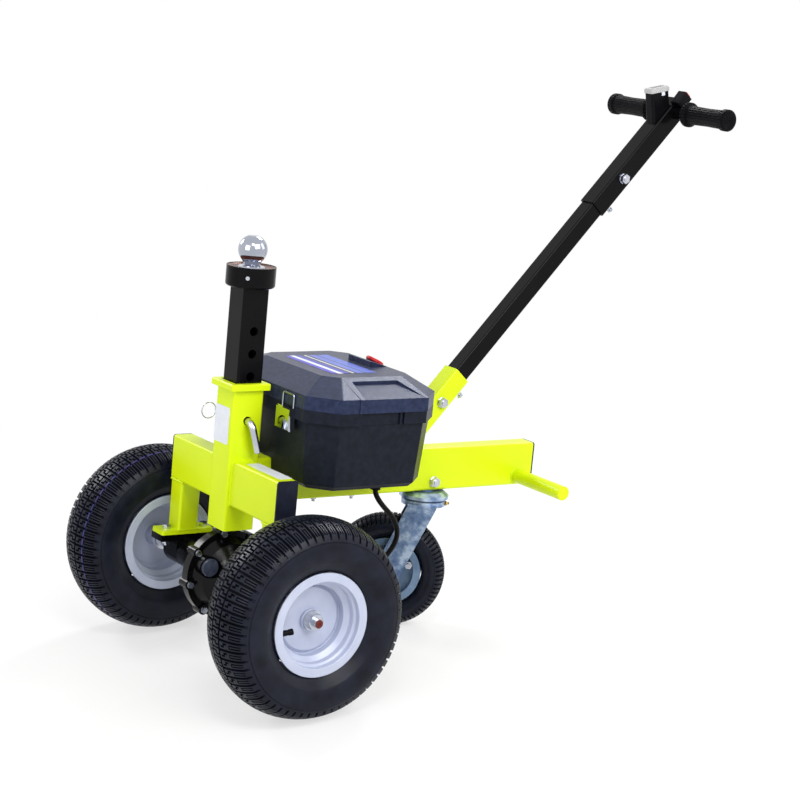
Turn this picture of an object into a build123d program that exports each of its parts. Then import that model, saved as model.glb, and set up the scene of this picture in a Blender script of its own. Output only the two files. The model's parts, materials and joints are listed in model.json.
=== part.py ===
from build123d import *
import os
from math import asin, atan, atan2, cos, degrees, hypot, radians, sin, sqrt, tan

# Electric trailer dolly, in millimetres.
# It is built upright, with the hitch post on x = 0, y = 0 and +X toward the handle,
# and then tipped back until the drive wheels and the caster stand on the floor.

# Fits
slide_clearance = 0.3
running_clearance = 0.05
seat_gap = 0.3
fit_gap = 0.1
bolt_clearance = 0.5

# Bolts, as shares of the thread's diameter
nut_across = 1.64
nut_height = 0.8
head_height = 0.65
washer_across = 1.95
washer_height = 1.5
bolt_stub = 10.0

# Hitch post, ball tube and tow ball
ball_tube_size = 50.0
ball_tube_wall = 5.0
ball_tube_corner = 4.0
ball_tube_bottom = 310.0
ball_tube_top = 680.5
tube_play = 1.5
post_wall = 3.5
post_bottom = 256.0
post_top = 505.0
collar_lip = 8.5
collar_height = 11.0
collar_edge = 2.0
pin_diameter = 13.0
pin_play = 1.35
pin_height = 450.0
pin_hole_pitch = 39.25
pin_holes = 5
pin_far_end = 74.0
pin_near_reach = 44.0
pin_handle_end = (13.0, -50.0, 398.0)
pin_bend = 14.0
clip_y = 66.0
clip_shank_diameter = 4.0
clip_shank_end = 12.0
clip_ring_radius = 14.0
clip_wire = 1.8
cup_diameter = 86.0
cup_height = 36.0
cup_wall = 2.0
cup_recess = 6.0
cup_rounding = 5.0
ring_inner_height = 3.0
ring_outer_height = 5.2
ring_lip = 2.5
screw_direction = 232.0
screw_height = 699.0
screw_hole_diameter = 9.4
screw_hole_depth = 8.0
screw_diameter = 7.0
ball_diameter = 50.8
ball_height = 744.0
ball_flat_diameter = 18.0
ball_base_diameter = 48.0
ball_base_height = 5.0
ball_ring_diameter = 31.0
ball_ring_height = 2.5
ball_neck_low = 27.0
ball_neck_high = 35.0

# Cross arms, legs and feet
arm_depth = 40.0
frame_height = 80.0
frame_bottom = 301.0
tube_wall = 3.0
tube_corner = 5.0
arm_reach = 178.6
arm_x = -3.0
leg_size = 40.0
foot_thickness = 8.0
foot_length = 104.0
foot_corner = 4.0
foot_top = 213.4
foot_bolt_spacing = 74.0
foot_bolt_diameter = 8.0
cap_thickness = 3.0
cap_plug_length = 12.0

# Main beam and foot bar
beam_width = 40.0
beam_end = 643.0
foot_bar_diameter = 27.0
foot_bar_length = 326.0
foot_bar_x = 610.0
foot_bar_height = 319.0
foot_bar_edge = 2.0
beam_bolt_x = 416.5
beam_bolt_height = 318.0
beam_bolt_diameter = 10.0

# Handle, measured along its own slope from where it meets the beam
handle_angle = 48.2
handle_foot_x = 339.5
handle_tube_size = 32.0
handle_tube_wall = 2.5
handle_tube_corner = 3.0
socket_wall = 3.7
socket_length = 180.5
socket_start = -60.0
handle_tube_start = 60.0
handle_tube_end = 690.0
sleeve_wall = 2.7
sleeve_start = 600.0
sleeve_end = 872.0
sleeve_cap = 2.5
socket_bolt_station = 116.0
sleeve_bolt_station = 680.0
handle_bolt_diameter = 10.0
socket_clamp_station = 158.0
sleeve_clamp_station = 628.0
clamp_diameter = 6.0
clamp_reach = 18.4
bar_station = 853.0
bar_diameter = 25.0
bar_length = 318.0
grip_length = 114.0
grip_diameter = 36.0
grip_waist = 34.0
grip_flange_diameter = 47.0
grip_flange_width = 6.0
grip_bulge_diameter = 41.0
grip_bulge_width = 13.0
grip_end = 166.0
gauge_station = 829.0
gauge_rise = 43.2
gauge_tilt = 12.0
gauge_length = 46.0
gauge_width = 26.0
gauge_inset = 3.0
gauge_corner = 5.0
gauge_cap_height = 9.0
gauge_cap_edge = 2.5
switch_rise = 36.75
switch_swing = 72.5
switch_angle = 51.3
switch_middle = -25.0
switch_length = 22.5
switch_width = 22.0
switch_depth = 28.0
rocker_length = 14.0
rocker_width = 15.0
rocker_rise = 3.5

# Drive wheels and axle
axle_x = 1.6
axle_height = 169.5
track = 524.0
tyre_radius = 172.0
tyre_width = 124.0
tyre_bulge_radius = 125.0
tyre_shoulder_radius = 157.0
tyre_shoulder = 53.0
rim_lip_radius = 89.5
rim_seat_radius = 77.0
rim_step_radius = 73.0
rim_seat_low = 39.0
rim_step_low = 26.0
rim_well_low = 21.0
rim_well_radius = 64.0
rim_width = 100.0
rim_wall = 3.0
rim_disc = 8.0
rim_dish = 5.0
rim_bend = 1.2
hub_diameter = 38.0
hub_low = -26.0
hub_high = 18.0
axle_diameter = 25.0
axle_inner_end = 60.0
axle_collar_diameter = 36.0
axle_collar_width = 6.0
axle_thread_diameter = 16.0
axle_thread_length = 22.0
axle_nut_size = 26.0
axle_nut_height = 11.0
axle_washer_height = 3.0
axle_tube_diameter = 52.0
axle_tube_end = 186.0
saddle_drop = 8.0
saddle_block_half = 26.0
saddle_plate = 12.0

# Gear case and motor
gear_case_offset = 10.0
gear_case_half = 46.0
gear_case_face = 34.0
gear_case_radius = 68.0
gear_case_flange = 79.0
flange_half = 9.0
case_bolt_radius = 75.0
case_bolt_angles = (55.5, 100.5, 145.5, 190.5, 235.5, 280.5)
case_bolt_diameter = 6.0
case_lug_radius = 9.0
case_shoulder = 8.0
case_drop = 10.0
case_bolt_stub = 7.0
lug_proud = 3.0
plug_x = -48.0
plug_rise = 21.0
plug_diameter = 32.0
plug_thickness = 5.0
plug_slot_width = 5.0
plug_slot_depth = 2.5
plug_slot_turn = 22.0
boss_diameter = 38.0
boss_face = 20.0
neck_diameter = 80.0
neck_start = 30.0
motor_diameter = 96.0
motor_start = 88.0
motor_length = 142.0
motor_edge = 4.0

# Caster
caster_x = 412.0
caster_trail = 55.0
caster_turn = -38.0
caster_axle_height = 141.0
caster_tyre_radius = 107.5
caster_tyre_width = 62.0
caster_bulge_radius = 84.0
caster_shoulder_radius = 98.0
caster_shoulder = 25.0
caster_lip_radius = 63.0
caster_seat_radius = 52.0
caster_rim_width = 44.0
caster_disc_thickness = 4.0
caster_hub_diameter = 36.0
caster_hub = 70.0
caster_bolt_diameter = 12.0
rim_bolt_radius = 41.0
rim_bolt_angle = 163.5
rim_bolt_diameter = 8.0
rim_bolts_around = 4
rim_bolt_washer = 13.0
race_diameter = 91.4
race_top = 299.0
race_bottom = 286.0
race_flat_radius = 36.0
race_wall = 3.0
race_boss_diameter = 40.0
kingpin_diameter = 16.0
kingpin_end = 258.0
crown_diameter = 82.0
crown_top = 284.0
crown_bottom = 272.0
crown_edge = 2.5
fork_gap = 74.0
fork_thickness = 5.0
fork_leg_half = 26.5

# Battery box
box_x = 180.5
box_length = 268.0
box_width = 362.0
box_corner = 46.0
box_draft = 11.0
box_bottom = 352.5
box_parting = 491.0
box_wall = 4.0
box_edge = 4.0
box_foot = 8.0
rim_band_height = 21.0
rim_band_proud = 4.0
band_gap_start = 135.0
band_gap_end = 213.0
band_rib = 3.5
band_slot = 5.5
tunnel_clearance = 2.0
lid_skirt_top = 515.5
lid_top = 540.5
lid_top_front = 102.5
lid_top_rear = 278.0
lid_top_width = 234.0
lid_top_corner = 25.0
panel_front = 128.0
panel_proud = 2.0
pocket_depth = 6.0
pocket_upper = (142.0, 236.0)
pocket_lower = (136.0, 262.0)
pocket_ledge = 12.0
pad_front = 241.5
pad_height = 9.5
pad_low_side = -34.0
pad_high_side = 36.0
battery_length = 181.0
battery_width = 77.0
battery_height = 164.0
battery_spread = 186.0
hinge_reach = 5.0
hinge_knuckle = 20.0
hinge_spread = 180.0
hinge_radius = 4.5
hinge_leaf = 8.0
hinge_pin_diameter = 4.0
latch_spread = 171.0
latch_width = 43.0
latch_bottom = 447.0
latch_top = 488.0
latch_thickness = 12.0
latch_edge = 2.5
loop_top = 510.0
loop_wire = 3.0
loop_inset = 4.0
knob_x = 286.0
knob_y = 15.0
knob_height = 543.5
knob_tilt = 27.0
knob_diameter = 34.0
knob_thickness = 6.0
knob_edge = 1.5
knob_base_diameter = 31.0
box_bolt_places = (168.6, 250.0)
box_bolt_diameter = 6.0
box_bolt_drop = 10.0

# Power cable
cable_diameter = 9.4
gland_diameter = 18.0
cable_points = [
    (212, -128, 342),
    (212, -128, 328),
    (266, -132, 278),
    (266, -128, 232),
    (216, -112, 178),
    (200, -80, 170),
    (200, -58, 170),
]

# Sizes that follow from those above
post_inside = ball_tube_size + 2 * tube_play
post_size = post_inside + 2 * post_wall
tube_shift = tube_play - slide_clearance
pin_hole = pin_diameter + 2 * pin_play
pin_x = tube_shift / 2
pin_rise = sqrt((pin_play - seat_gap) ** 2 - pin_x ** 2)
cup_floor = ball_tube_top + cup_height - cup_recess
frame_top = frame_bottom + frame_height
leg_y = arm_reach - leg_size / 2
handle_inside = handle_tube_size + 2 * slide_clearance
socket_size = handle_inside + 2 * socket_wall
sleeve_size = handle_inside + 2 * sleeve_wall
wheel_y = track / 2
swing = radians(caster_turn)
lid_slope_run = (box_width - lid_top_width) / 2
lid_slope_rise = lid_top - lid_skirt_top


def box(x0, x1, y0, y1, z0, z1):
    """A block between two corners."""
    centre = ((x0 + x1) / 2, (y0 + y1) / 2, (z0 + z1) / 2)
    return Pos(*centre) * Box(x1 - x0, y1 - y0, z1 - z0)


def rod(radius, length, start, direction):
    """A cylinder that begins at start and runs along direction."""
    plane = Plane(origin=start, z_dir=direction)
    return plane * Cylinder(radius, length, align=(Align.CENTER, Align.CENTER, Align.MIN))


def square_tube(width, depth, wall, length, corner):
    """A hollow tube along +Z with rounded outer and inner corners."""
    outline = RectangleRounded(width, depth, corner)
    hollow = RectangleRounded(width - 2 * wall, depth - 2 * wall, max(corner - wall, 0.5))
    return extrude(outline - hollow, length)


def turned(outline):
    """A solid turned about +Z from its outline in (radius, height)."""
    return revolve(Plane.XZ * make_face(Polyline(*outline, close=True)), Axis.Z)


def hexagon(diameter):
    """The outline of a nut or a bolt head for a thread of this diameter."""
    return RegularPolygon(nut_across * diameter / 2, 6, major_radius=False)


def through_bolt(diameter, width, stub, washer=0.0):
    """A bolt along +Z through a piece from 0 to width, its head below and its nut above."""
    washer = washer or washer_across * diameter
    grip = width + washer_height
    head = head_height * diameter
    nut = nut_height * diameter
    bolt = rod(diameter / 2, grip + stub, (0, 0, 0), (0, 0, 1))
    bolt += Pos(0, 0, -washer_height - head) * extrude(hexagon(diameter), head)
    bolt += Pos(0, 0, grip) * extrude(hexagon(diameter), nut)
    for start in (-washer_height, width):
        bolt += rod(washer / 2, washer_height, (0, 0, start), (0, 0, 1))
    return bolt


def octagon(length, width, corner, edge=0.0):
    """A rectangle with four cut corners, its eight edges rounded by edge."""
    outline = chamfer(Rectangle(length, width).vertices(), corner)
    return fillet(outline.vertices(), edge) if edge > 0 else outline


def handle_point(station, lift=0.0, side=0.0):
    """A point beside the handle's centre line."""
    slope = radians(handle_angle)
    x = handle_foot_x + station * cos(slope) - lift * sin(slope)
    z = frame_top + station * sin(slope) + lift * cos(slope)
    return (x, side, z)


def handle_down():
    """The direction square to the handle, toward the floor."""
    slope = radians(handle_angle)
    return (sin(slope), 0, -cos(slope))


def handle_plane(station):
    """A plane across the handle, with its X along the object's Y."""
    slope = radians(handle_angle)
    return Plane(origin=handle_point(station), x_dir=(0, 1, 0), z_dir=(cos(slope), 0, sin(slope)))


# Hitch post with its collar, ball tube, pin, cup and ball
def hitch_post():
    height = post_top - post_bottom
    post = Pos(0, 0, post_bottom) * square_tube(post_size, post_size, post_wall, height, tube_corner)
    return post - rod(pin_hole / 2, 2 * post_size, (0, -post_size, pin_height + pin_rise), (0, 1, 0))


def post_collar():
    size = post_size + 2 * collar_lip
    ring = RectangleRounded(size, size, tube_corner) - Rectangle(post_inside, post_inside)
    collar = Pos(0, 0, post_top) * extrude(ring, collar_height)
    return chamfer(collar.faces().sort_by(Axis.Z)[-1].outer_wire().edges(), collar_edge)


def ball_tube():
    """The tube hangs on the pin and leans into one corner of the post."""
    length = ball_tube_top - ball_tube_bottom
    tube = square_tube(ball_tube_size, ball_tube_size, ball_tube_wall, length, ball_tube_corner)
    tube = Pos(tube_shift, -tube_shift, ball_tube_bottom) * tube
    for k in range(pin_holes):
        height = pin_height - pin_rise + k * pin_hole_pitch
        start = (tube_shift, -2 * ball_tube_size, height)
        tube -= rod(pin_hole / 2, 4 * ball_tube_size, start, (0, 1, 0))
    return tube


def ball_cup():
    radius = cup_diameter / 2
    outline = [(0, 0), (radius, 0), (radius, cup_height), (radius - cup_wall, cup_height)]
    outline += [(radius - cup_wall, cup_height - cup_recess), (0, cup_height - cup_recess)]
    cup = turned(outline)
    cup = fillet(cup.edges().filter_by(GeomType.CIRCLE).group_by(Axis.Z)[0], cup_rounding)
    return Pos(tube_shift, -tube_shift, ball_tube_top) * cup - screw_bore(screw_hole_diameter)


def screw_bore(diameter):
    """The cylinder that the cup's side screw stands in."""
    angle = radians(screw_direction)
    outward = (cos(angle), sin(angle), 0)
    depth = cup_diameter / 2 - screw_hole_depth
    start = (tube_shift + depth * outward[0], -tube_shift + depth * outward[1], screw_height)
    return rod(diameter / 2, cup_diameter, start, outward)


def set_screw():
    """A plug in the side hole, with its head a little below the cup's face."""
    shell = turned([(0, 0), (cup_diameter / 2 - 2, 0), (cup_diameter / 2 - 2, cup_height), (0, cup_height)])
    return screw_bore(screw_diameter) & Pos(tube_shift, -tube_shift, ball_tube_top) * shell


def ball_ring():
    """The dished ring around the ball's base."""
    inner = ball_base_diameter / 2 + seat_gap
    outer = cup_diameter / 2 - cup_wall - seat_gap
    outline = [(inner, 0), (outer, 0), (outer, ring_outer_height), (outer - ring_lip, ring_outer_height)]
    outline += [(outer - 2 * ring_lip, ring_inner_height + 1), (inner, ring_inner_height)]
    return Pos(tube_shift, -tube_shift, cup_floor) * turned(outline)


def tow_ball():
    half_flat = ball_flat_diameter / 2
    radius = ball_diameter / 2
    flat = ball_height + sqrt(radius ** 2 - half_flat ** 2)
    meet = ball_height - sqrt(radius ** 2 - (ball_neck_high / 2) ** 2)
    ball = Pos(0, 0, ball_height) * Sphere(radius) - box(-radius, radius, -radius, radius, flat, flat + radius)
    base = ball_base_diameter / 2
    ring_low = cup_floor + ball_base_height
    ring_high = ring_low + ball_ring_height
    outline = [(0, cup_floor), (base, cup_floor), (base, ring_low - 1.5), (base - 1.5, ring_low)]
    outline += [(ball_ring_diameter / 2, ring_low), (ball_ring_diameter / 2, ring_high)]
    outline += [(ball_neck_low / 2, ring_high), (ball_neck_high / 2, meet), (0, meet)]
    return Pos(tube_shift, -tube_shift, 0) * (ball + turned(outline))


def hitch_pin():
    bent = (pin_x + pin_handle_end[0], pin_handle_end[1], pin_handle_end[2])
    corners = [(pin_x, pin_far_end, pin_height), (pin_x, -pin_near_reach, pin_height), bent]
    path = FilletPolyline(*corners, radius=pin_bend)
    pin = sweep(Plane(origin=path @ 0, z_dir=path % 0) * Circle(pin_diameter / 2), path=path)
    pin = chamfer(pin.faces().filter_by(GeomType.PLANE).edges(), 1)
    hole = clip_shank_diameter / 2 + slide_clearance
    return pin - rod(hole, 2 * pin_diameter, (pin_x - pin_diameter, clip_y, pin_height), (1, 0, 0))


def pin_clip():
    """A shank through the pin, with a ring of wire on its head."""
    head = pin_x - pin_diameter / 2 - clip_wire
    shank = rod(clip_shank_diameter / 2, clip_shank_end - head, (head, clip_y, pin_height), (1, 0, 0))
    centre = (head - clip_ring_radius, clip_y, pin_height)
    return shank + Plane(origin=centre, z_dir=(0, 1, 0)) * Torus(clip_ring_radius, clip_wire / 2)


# Cross arms, legs and feet: side is -1 on the operator's left and 1 on the right
def cross_arm(side):
    length = arm_reach - post_size / 2
    tube = square_tube(arm_depth, frame_height, tube_wall, length, tube_corner)
    start = (arm_x, side * post_size / 2, frame_bottom + frame_height / 2)
    return Plane(origin=start, x_dir=(1, 0, 0), z_dir=(0, side, 0)) * tube


def axle_leg(side):
    tube = square_tube(leg_size, leg_size, tube_wall, frame_bottom - foot_top, tube_corner)
    return Pos(arm_x, side * leg_y, foot_top) * tube


def foot_bolt_places(side):
    """Centres of the two bolts through a foot plate, at the plate's top."""
    half = foot_bolt_spacing / 2
    return [(axle_x + end * half, side * leg_y, foot_top) for end in (-1, 1)]


def foot_bolt_holes(side):
    holes = [rod(foot_bolt_diameter / 2 + bolt_clearance, 2 * leg_size, (x, y, z - leg_size), (0, 0, 1))
             for x, y, z in foot_bolt_places(side)]
    return holes[0] + holes[1]


def foot_plate(side):
    plate = extrude(RectangleRounded(foot_length, leg_size, foot_corner), foot_thickness)
    return Pos(arm_x, side * leg_y, foot_top - foot_thickness) * plate - foot_bolt_holes(side)


def main_beam():
    length = beam_end - post_size / 2
    tube = square_tube(beam_width, frame_height, tube_wall, length, tube_corner)
    start = (post_size / 2, 0, frame_bottom + frame_height / 2)
    beam = Plane(origin=start, x_dir=(0, 1, 0), z_dir=(1, 0, 0)) * tube
    beam -= rod(foot_bar_diameter / 2, 2 * beam_width, (foot_bar_x, -beam_width, foot_bar_height), (0, 1, 0))
    hole = beam_bolt_diameter / 2 + bolt_clearance
    beam -= rod(hole, 2 * beam_width, (beam_bolt_x, -beam_width, beam_bolt_height), (0, 1, 0))
    for x in box_bolt_places:
        beam -= rod(box_bolt_diameter / 2 + bolt_clearance, 2 * frame_height, (x, 0, frame_bottom - 20), (0, 0, 1))
    return beam


def end_cap(width):
    """A plug that closes a frame tube, along +Z from the tube's end."""
    head = extrude(RectangleRounded(width, frame_height, tube_corner), cap_thickness)
    inside = [size - 2 * tube_wall - 2 * slide_clearance for size in (width, frame_height)]
    return head + extrude(RectangleRounded(*inside, 1.5), -cap_plug_length)


def end_caps():
    middle = frame_bottom + frame_height / 2
    caps = [Plane(origin=(beam_end, 0, middle), x_dir=(0, 1, 0), z_dir=(1, 0, 0)) * end_cap(beam_width)]
    for side in (-1, 1):
        plane = Plane(origin=(arm_x, side * arm_reach, middle), x_dir=(1, 0, 0), z_dir=(0, side, 0))
        caps.append(plane * end_cap(arm_depth))
    return caps


def foot_bar():
    start = (foot_bar_x, -foot_bar_length / 2, foot_bar_height)
    bar = rod(foot_bar_diameter / 2, foot_bar_length, start, (0, 1, 0))
    return fillet(bar.edges().filter_by(GeomType.CIRCLE), foot_bar_edge)


# Handle
def handle_cross_hole(station):
    hole = handle_bolt_diameter / 2 + bolt_clearance
    return rod(hole, 4 * socket_size, handle_point(station, 0, -2 * socket_size), (0, 1, 0))


def clamp_hole(station):
    return rod(clamp_diameter / 2 + slide_clearance, socket_size, handle_point(station), handle_down())


def handle_socket():
    length = socket_length - socket_start
    tube = handle_plane(socket_start) * square_tube(socket_size, socket_size, socket_wall, length, tube_corner)
    tube -= box(0, beam_end, -socket_size, socket_size, 0, frame_top)
    return tube - handle_cross_hole(socket_bolt_station) - clamp_hole(socket_clamp_station)


def handle_tube():
    length = handle_tube_end - handle_tube_start
    tube = square_tube(handle_tube_size, handle_tube_size, handle_tube_wall, length, handle_tube_corner)
    tube = handle_plane(handle_tube_start) * tube
    return tube - handle_cross_hole(socket_bolt_station) - handle_cross_hole(sleeve_bolt_station)


def handle_sleeve():
    tube = square_tube(sleeve_size, sleeve_size, sleeve_wall, sleeve_end - sleeve_start, handle_tube_corner)
    sleeve = handle_plane(sleeve_start) * tube
    cap = extrude(RectangleRounded(sleeve_size, sleeve_size, handle_tube_corner), sleeve_cap)
    sleeve += handle_plane(sleeve_end) * cap
    sleeve -= rod(bar_diameter / 2, 2 * sleeve_size, handle_point(bar_station, 0, -sleeve_size), (0, 1, 0))
    return sleeve - handle_cross_hole(sleeve_bolt_station) - clamp_hole(sleeve_clamp_station)


def handlebar():
    return rod(bar_diameter / 2, bar_length, handle_point(bar_station, 0, -bar_length / 2), (0, 1, 0))


def grip(side):
    start = grip_end - grip_length
    inner = bar_diameter / 2
    flange = grip_flange_diameter / 2
    body = grip_diameter / 2
    bulge = grip_bulge_diameter / 2
    bulge_start = grip_length - grip_bulge_width
    outline = [(inner, 0), (flange - 1, 0), (flange, 1), (flange, grip_flange_width), (body, grip_flange_width + 4)]
    outline += [(grip_waist / 2, grip_length / 2), (body, bulge_start - 3), (bulge, bulge_start)]
    outline += [(bulge, grip_length - 3), (bulge - 3, grip_length), (0, grip_length)]
    depth = bar_length / 2 - start
    outline += [(0, depth), (inner, depth)]
    plane = Plane(origin=handle_point(bar_station, 0, side * start), z_dir=(0, side, 0))
    return plane * turned(outline)


# Gauge and switch on the handle's head
def under_sleeve():
    """Everything below the sleeve's top face, for cutting what stands on it."""
    slope = radians(handle_angle)
    foot = handle_point(gauge_station, sleeve_size / 2)
    plane = Plane(origin=foot, x_dir=(0, -1, 0), z_dir=(-sin(slope), 0, cos(slope)))
    size = sleeve_end - sleeve_start
    return plane * Box(sleeve_size, 2 * size, size, align=(Align.CENTER, Align.CENTER, Align.MAX))


def gauge_plane():
    """The plane between the gauge's body and its cap."""
    tilt = radians(gauge_tilt)
    x, y, z = handle_point(gauge_station, sleeve_size / 2)
    origin = (x - gauge_rise * sin(tilt), y, z + gauge_rise * cos(tilt))
    return Plane(origin=origin, x_dir=(cos(tilt), 0, sin(tilt)), z_dir=(-sin(tilt), 0, cos(tilt)))


def gauge_housing():
    size = (gauge_length - gauge_inset, gauge_width - gauge_inset)
    body = extrude(RectangleRounded(*size, gauge_corner), -2 * gauge_length)
    return gauge_plane() * body - under_sleeve()


def gauge_cap():
    cap = extrude(RectangleRounded(gauge_length, gauge_width, gauge_corner), gauge_cap_height)
    return gauge_plane() * chamfer(cap.edges().group_by(Axis.Z)[-1], gauge_cap_edge)


def switch_plane():
    """The plane of the switch's outer face."""
    x, _, z = handle_point(bar_station)
    swing_up = radians(switch_swing)
    facing = radians(switch_angle)
    origin = (x + switch_rise * cos(swing_up), switch_middle, z + switch_rise * sin(swing_up))
    return Plane(origin=origin, x_dir=(sin(facing), 0, -cos(facing)), z_dir=(cos(facing), 0, sin(facing)))


def switch_box():
    block = extrude(RectangleRounded(switch_length, switch_width, 2), -switch_depth)
    return switch_plane() * block - under_sleeve() - handlebar()


def rocker_switch():
    rocker = extrude(RectangleRounded(rocker_length, rocker_width, 1.5), rocker_rise)
    return switch_plane() * chamfer(rocker.edges().group_by(Axis.Z)[-1], 1)


# Battery box
def tub_outline(height, inset):
    """The tub's octagon at a height, drawn in by its draft and by inset."""
    rise = (height - box_bottom) / (box_parting - box_bottom)
    draw = box_draft * (1 - rise) + inset + rim_band_proud
    corner = box_corner - 0.586 * draw
    return Pos(box_x, 0, height) * octagon(box_length - 2 * draw, box_width - 2 * draw, corner, box_edge)


def tub_shell(inset):
    """The tub's outside, or its inside when it is drawn in by the wall."""
    low = box_bottom + inset
    knee = box_bottom + box_foot + inset / 2
    lower = loft([tub_outline(low, box_foot + inset), tub_outline(knee, inset)])
    return lower + loft([tub_outline(knee, inset), tub_outline(box_parting, inset)])


def rim_band():
    """The band around the tub's rim, open along the middle of both long sides."""
    low = box_parting - rim_band_height
    band = Pos(box_x, 0, low) * extrude(octagon(box_length, box_width, box_corner, box_edge), rim_band_height)
    reach = box_width / 2 - rim_band_proud
    slot_start = band_gap_end + band_rib
    for side in (-1, 1):
        near, far = sorted((side * reach, side * box_width))
        band -= box(band_gap_start, band_gap_end, near, far, low, box_parting)
        band -= box(slot_start, slot_start + band_slot, near, far, low, box_parting)
    return band


def battery_tub():
    outer = tub_shell(0)
    tunnel_half = beam_width / 2 + tunnel_clearance
    tunnel_top = frame_top + slide_clearance
    front = box_x - box_length / 2
    ridge_half = tunnel_half + box_wall
    ridge = box(front, front + box_length, -ridge_half, ridge_half, box_bottom, tunnel_top + box_wall)
    tunnel = box(0, beam_end, -tunnel_half, tunnel_half, 0, tunnel_top)
    tub = (outer + rim_band() - tub_shell(box_wall)) + (ridge & outer) - tunnel
    rear = box_x + box_length / 2
    for y in hinge_places(1):
        half = hinge_knuckle / 2
        tub += box(rear - 1, rear + hinge_reach, y - half, y + half, box_parting - hinge_leaf, box_parting - seat_gap)
        tub += hinge_barrel(y, hinge_knuckle)
    for x in box_bolt_places:
        tub -= rod(box_bolt_diameter / 2 + bolt_clearance, frame_height, (x, 0, box_bottom), (0, 0, 1))
    return tub - hinge_bore(running_clearance)


def hinge_places(kind):
    """Centres of the knuckles along the hinge: kind 0 is the lid's, kind 1 the tub's."""
    offsets = (0,) if kind == 0 else (-hinge_knuckle - fit_gap, hinge_knuckle + fit_gap)
    return [side * hinge_spread / 2 + offset for side in (-1, 1) for offset in offsets]


def hinge_barrel(y, length):
    start = (box_x + box_length / 2 + hinge_reach, y - length / 2, box_parting)
    return rod(hinge_radius, length, start, (0, 1, 0))


def hinge_bore(clearance):
    start = (box_x + box_length / 2 + hinge_reach, -box_width / 2, box_parting)
    return rod(hinge_pin_diameter / 2 + clearance, box_width, start, (0, 1, 0))


def hinge_pins():
    pins = []
    for side in (-1, 1):
        length = 3 * hinge_knuckle
        start = (box_x + box_length / 2 + hinge_reach, side * hinge_spread / 2 - length / 2, box_parting)
        pins.append(rod(hinge_pin_diameter / 2, length, start, (0, 1, 0)))
    return pins


def latches():
    """Two latch plates, each with its wire loop reaching up over the lid's skirt."""
    face = box_x - box_length / 2
    wire_x = face - loop_wire / 2 - seat_gap
    half = latch_width / 2
    arm = half - loop_inset
    low = (latch_bottom + latch_top) / 2
    pieces = []
    for side in (-1, 1):
        y = side * latch_spread / 2
        plate = box(face - latch_thickness, face, y - half, y + half, latch_bottom, latch_top)
        plate = chamfer(plate.edges().filter_by(Axis.Y).group_by(Axis.X)[0], latch_edge)
        ends = [(wire_x, y - arm, low), (wire_x, y - arm, loop_top), (wire_x, y + arm, loop_top)]
        path = FilletPolyline(*ends, (wire_x, y + arm, low), radius=4)
        loop = sweep(Plane(origin=path @ 0, z_dir=path % 0) * Circle(loop_wire / 2), path=path)
        pieces.append(plate + loop)
    return pieces


def batteries():
    floor = box_bottom + box_wall
    half_length = battery_length / 2
    half_width = battery_width / 2
    blocks = []
    for side in (-1, 1):
        block = box(-half_length, half_length, -half_width, half_width, 0, battery_height)
        blocks.append(Pos(box_x, side * battery_spread / 2, floor) * block)
    return blocks


# Battery box lid
def lid_shell(low, inset, drop):
    """The lid's outside, or its inside when it is drawn in by the wall and dropped."""
    corner = box_corner - 0.586 * inset
    knee = lid_skirt_top - drop / 2
    edge = box_edge if inset == 0 else 0
    rim = octagon(box_length - 2 * inset, box_width - 2 * inset, corner, edge)
    length = lid_top_rear - lid_top_front - inset
    roof = octagon(length, lid_top_width - inset, lid_top_corner, edge)
    middle = (lid_top_front + lid_top_rear) / 2
    skirt = Pos(box_x, 0, low) * extrude(rim, knee - low)
    return skirt + loft([Pos(box_x, 0, knee) * rim, Pos(middle, 0, lid_top - drop) * roof])


def side_panel():
    """The proud panel along the lid's long side, made on the -Y side."""
    wide = box_width / 2
    half = lid_top_width / 2
    face = wide + panel_proud
    low = box_parting + seat_gap
    profile = [(-wide, low), (-face, low), (-face, lid_skirt_top), (-half, lid_top), (-half, lid_top - box_wall)]
    profile += [(-wide, lid_skirt_top - box_wall)]
    end = box_x + box_length / 2 - box_corner
    plane = Plane(origin=(panel_front, 0, 0), x_dir=(0, 1, 0), z_dir=(1, 0, 0))
    panel = extrude(plane * make_face(Polyline(*profile, close=True)), end - panel_front)
    plan = [(panel_front, -half), (lid_top_rear - lid_top_corner, -half), (end, -face), (panel_front, -face)]
    return panel & extrude(make_face(Polyline(*plan, close=True)), lid_top)


def side_pocket(wall):
    """The pocket in that panel, deepest at its upper edge, grown and set down by wall."""
    face = box_width / 2 + panel_proud
    upper = lid_top_width / 2 + pocket_ledge
    run = face - upper
    climb = run * lid_slope_rise / lid_slope_run - pocket_depth
    outline = [(pocket_upper[0] - wall, wall - upper), (pocket_upper[1] + wall, wall - upper)]
    outline += [(pocket_lower[1] + wall, -face), (pocket_lower[0] - wall, -face)]
    prism = extrude(make_face(Polyline(*outline, close=True)), 2 * lid_top)
    start = (box_x, -face, lid_skirt_top - wall)
    floor = Plane(origin=start, x_dir=(1, 0, 0), z_dir=(0, -climb, run))
    return prism & floor * Box(2 * box_length, 4 * box_width, box_width, align=(Align.CENTER, Align.CENTER, Align.MIN))


def top_pad():
    """The wedge at the rear of the lid's top, highest at its front."""
    profile = [(pad_front, lid_top - 1), (pad_front, lid_top + pad_height)]
    profile += [(pad_front + 3, lid_top + pad_height), (lid_top_rear, lid_top + 0.2), (lid_top_rear, lid_top - 1)]
    face = Plane.XZ.offset(-pad_low_side) * make_face(Polyline(*profile, close=True))
    return extrude(face, pad_low_side - pad_high_side)


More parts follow.
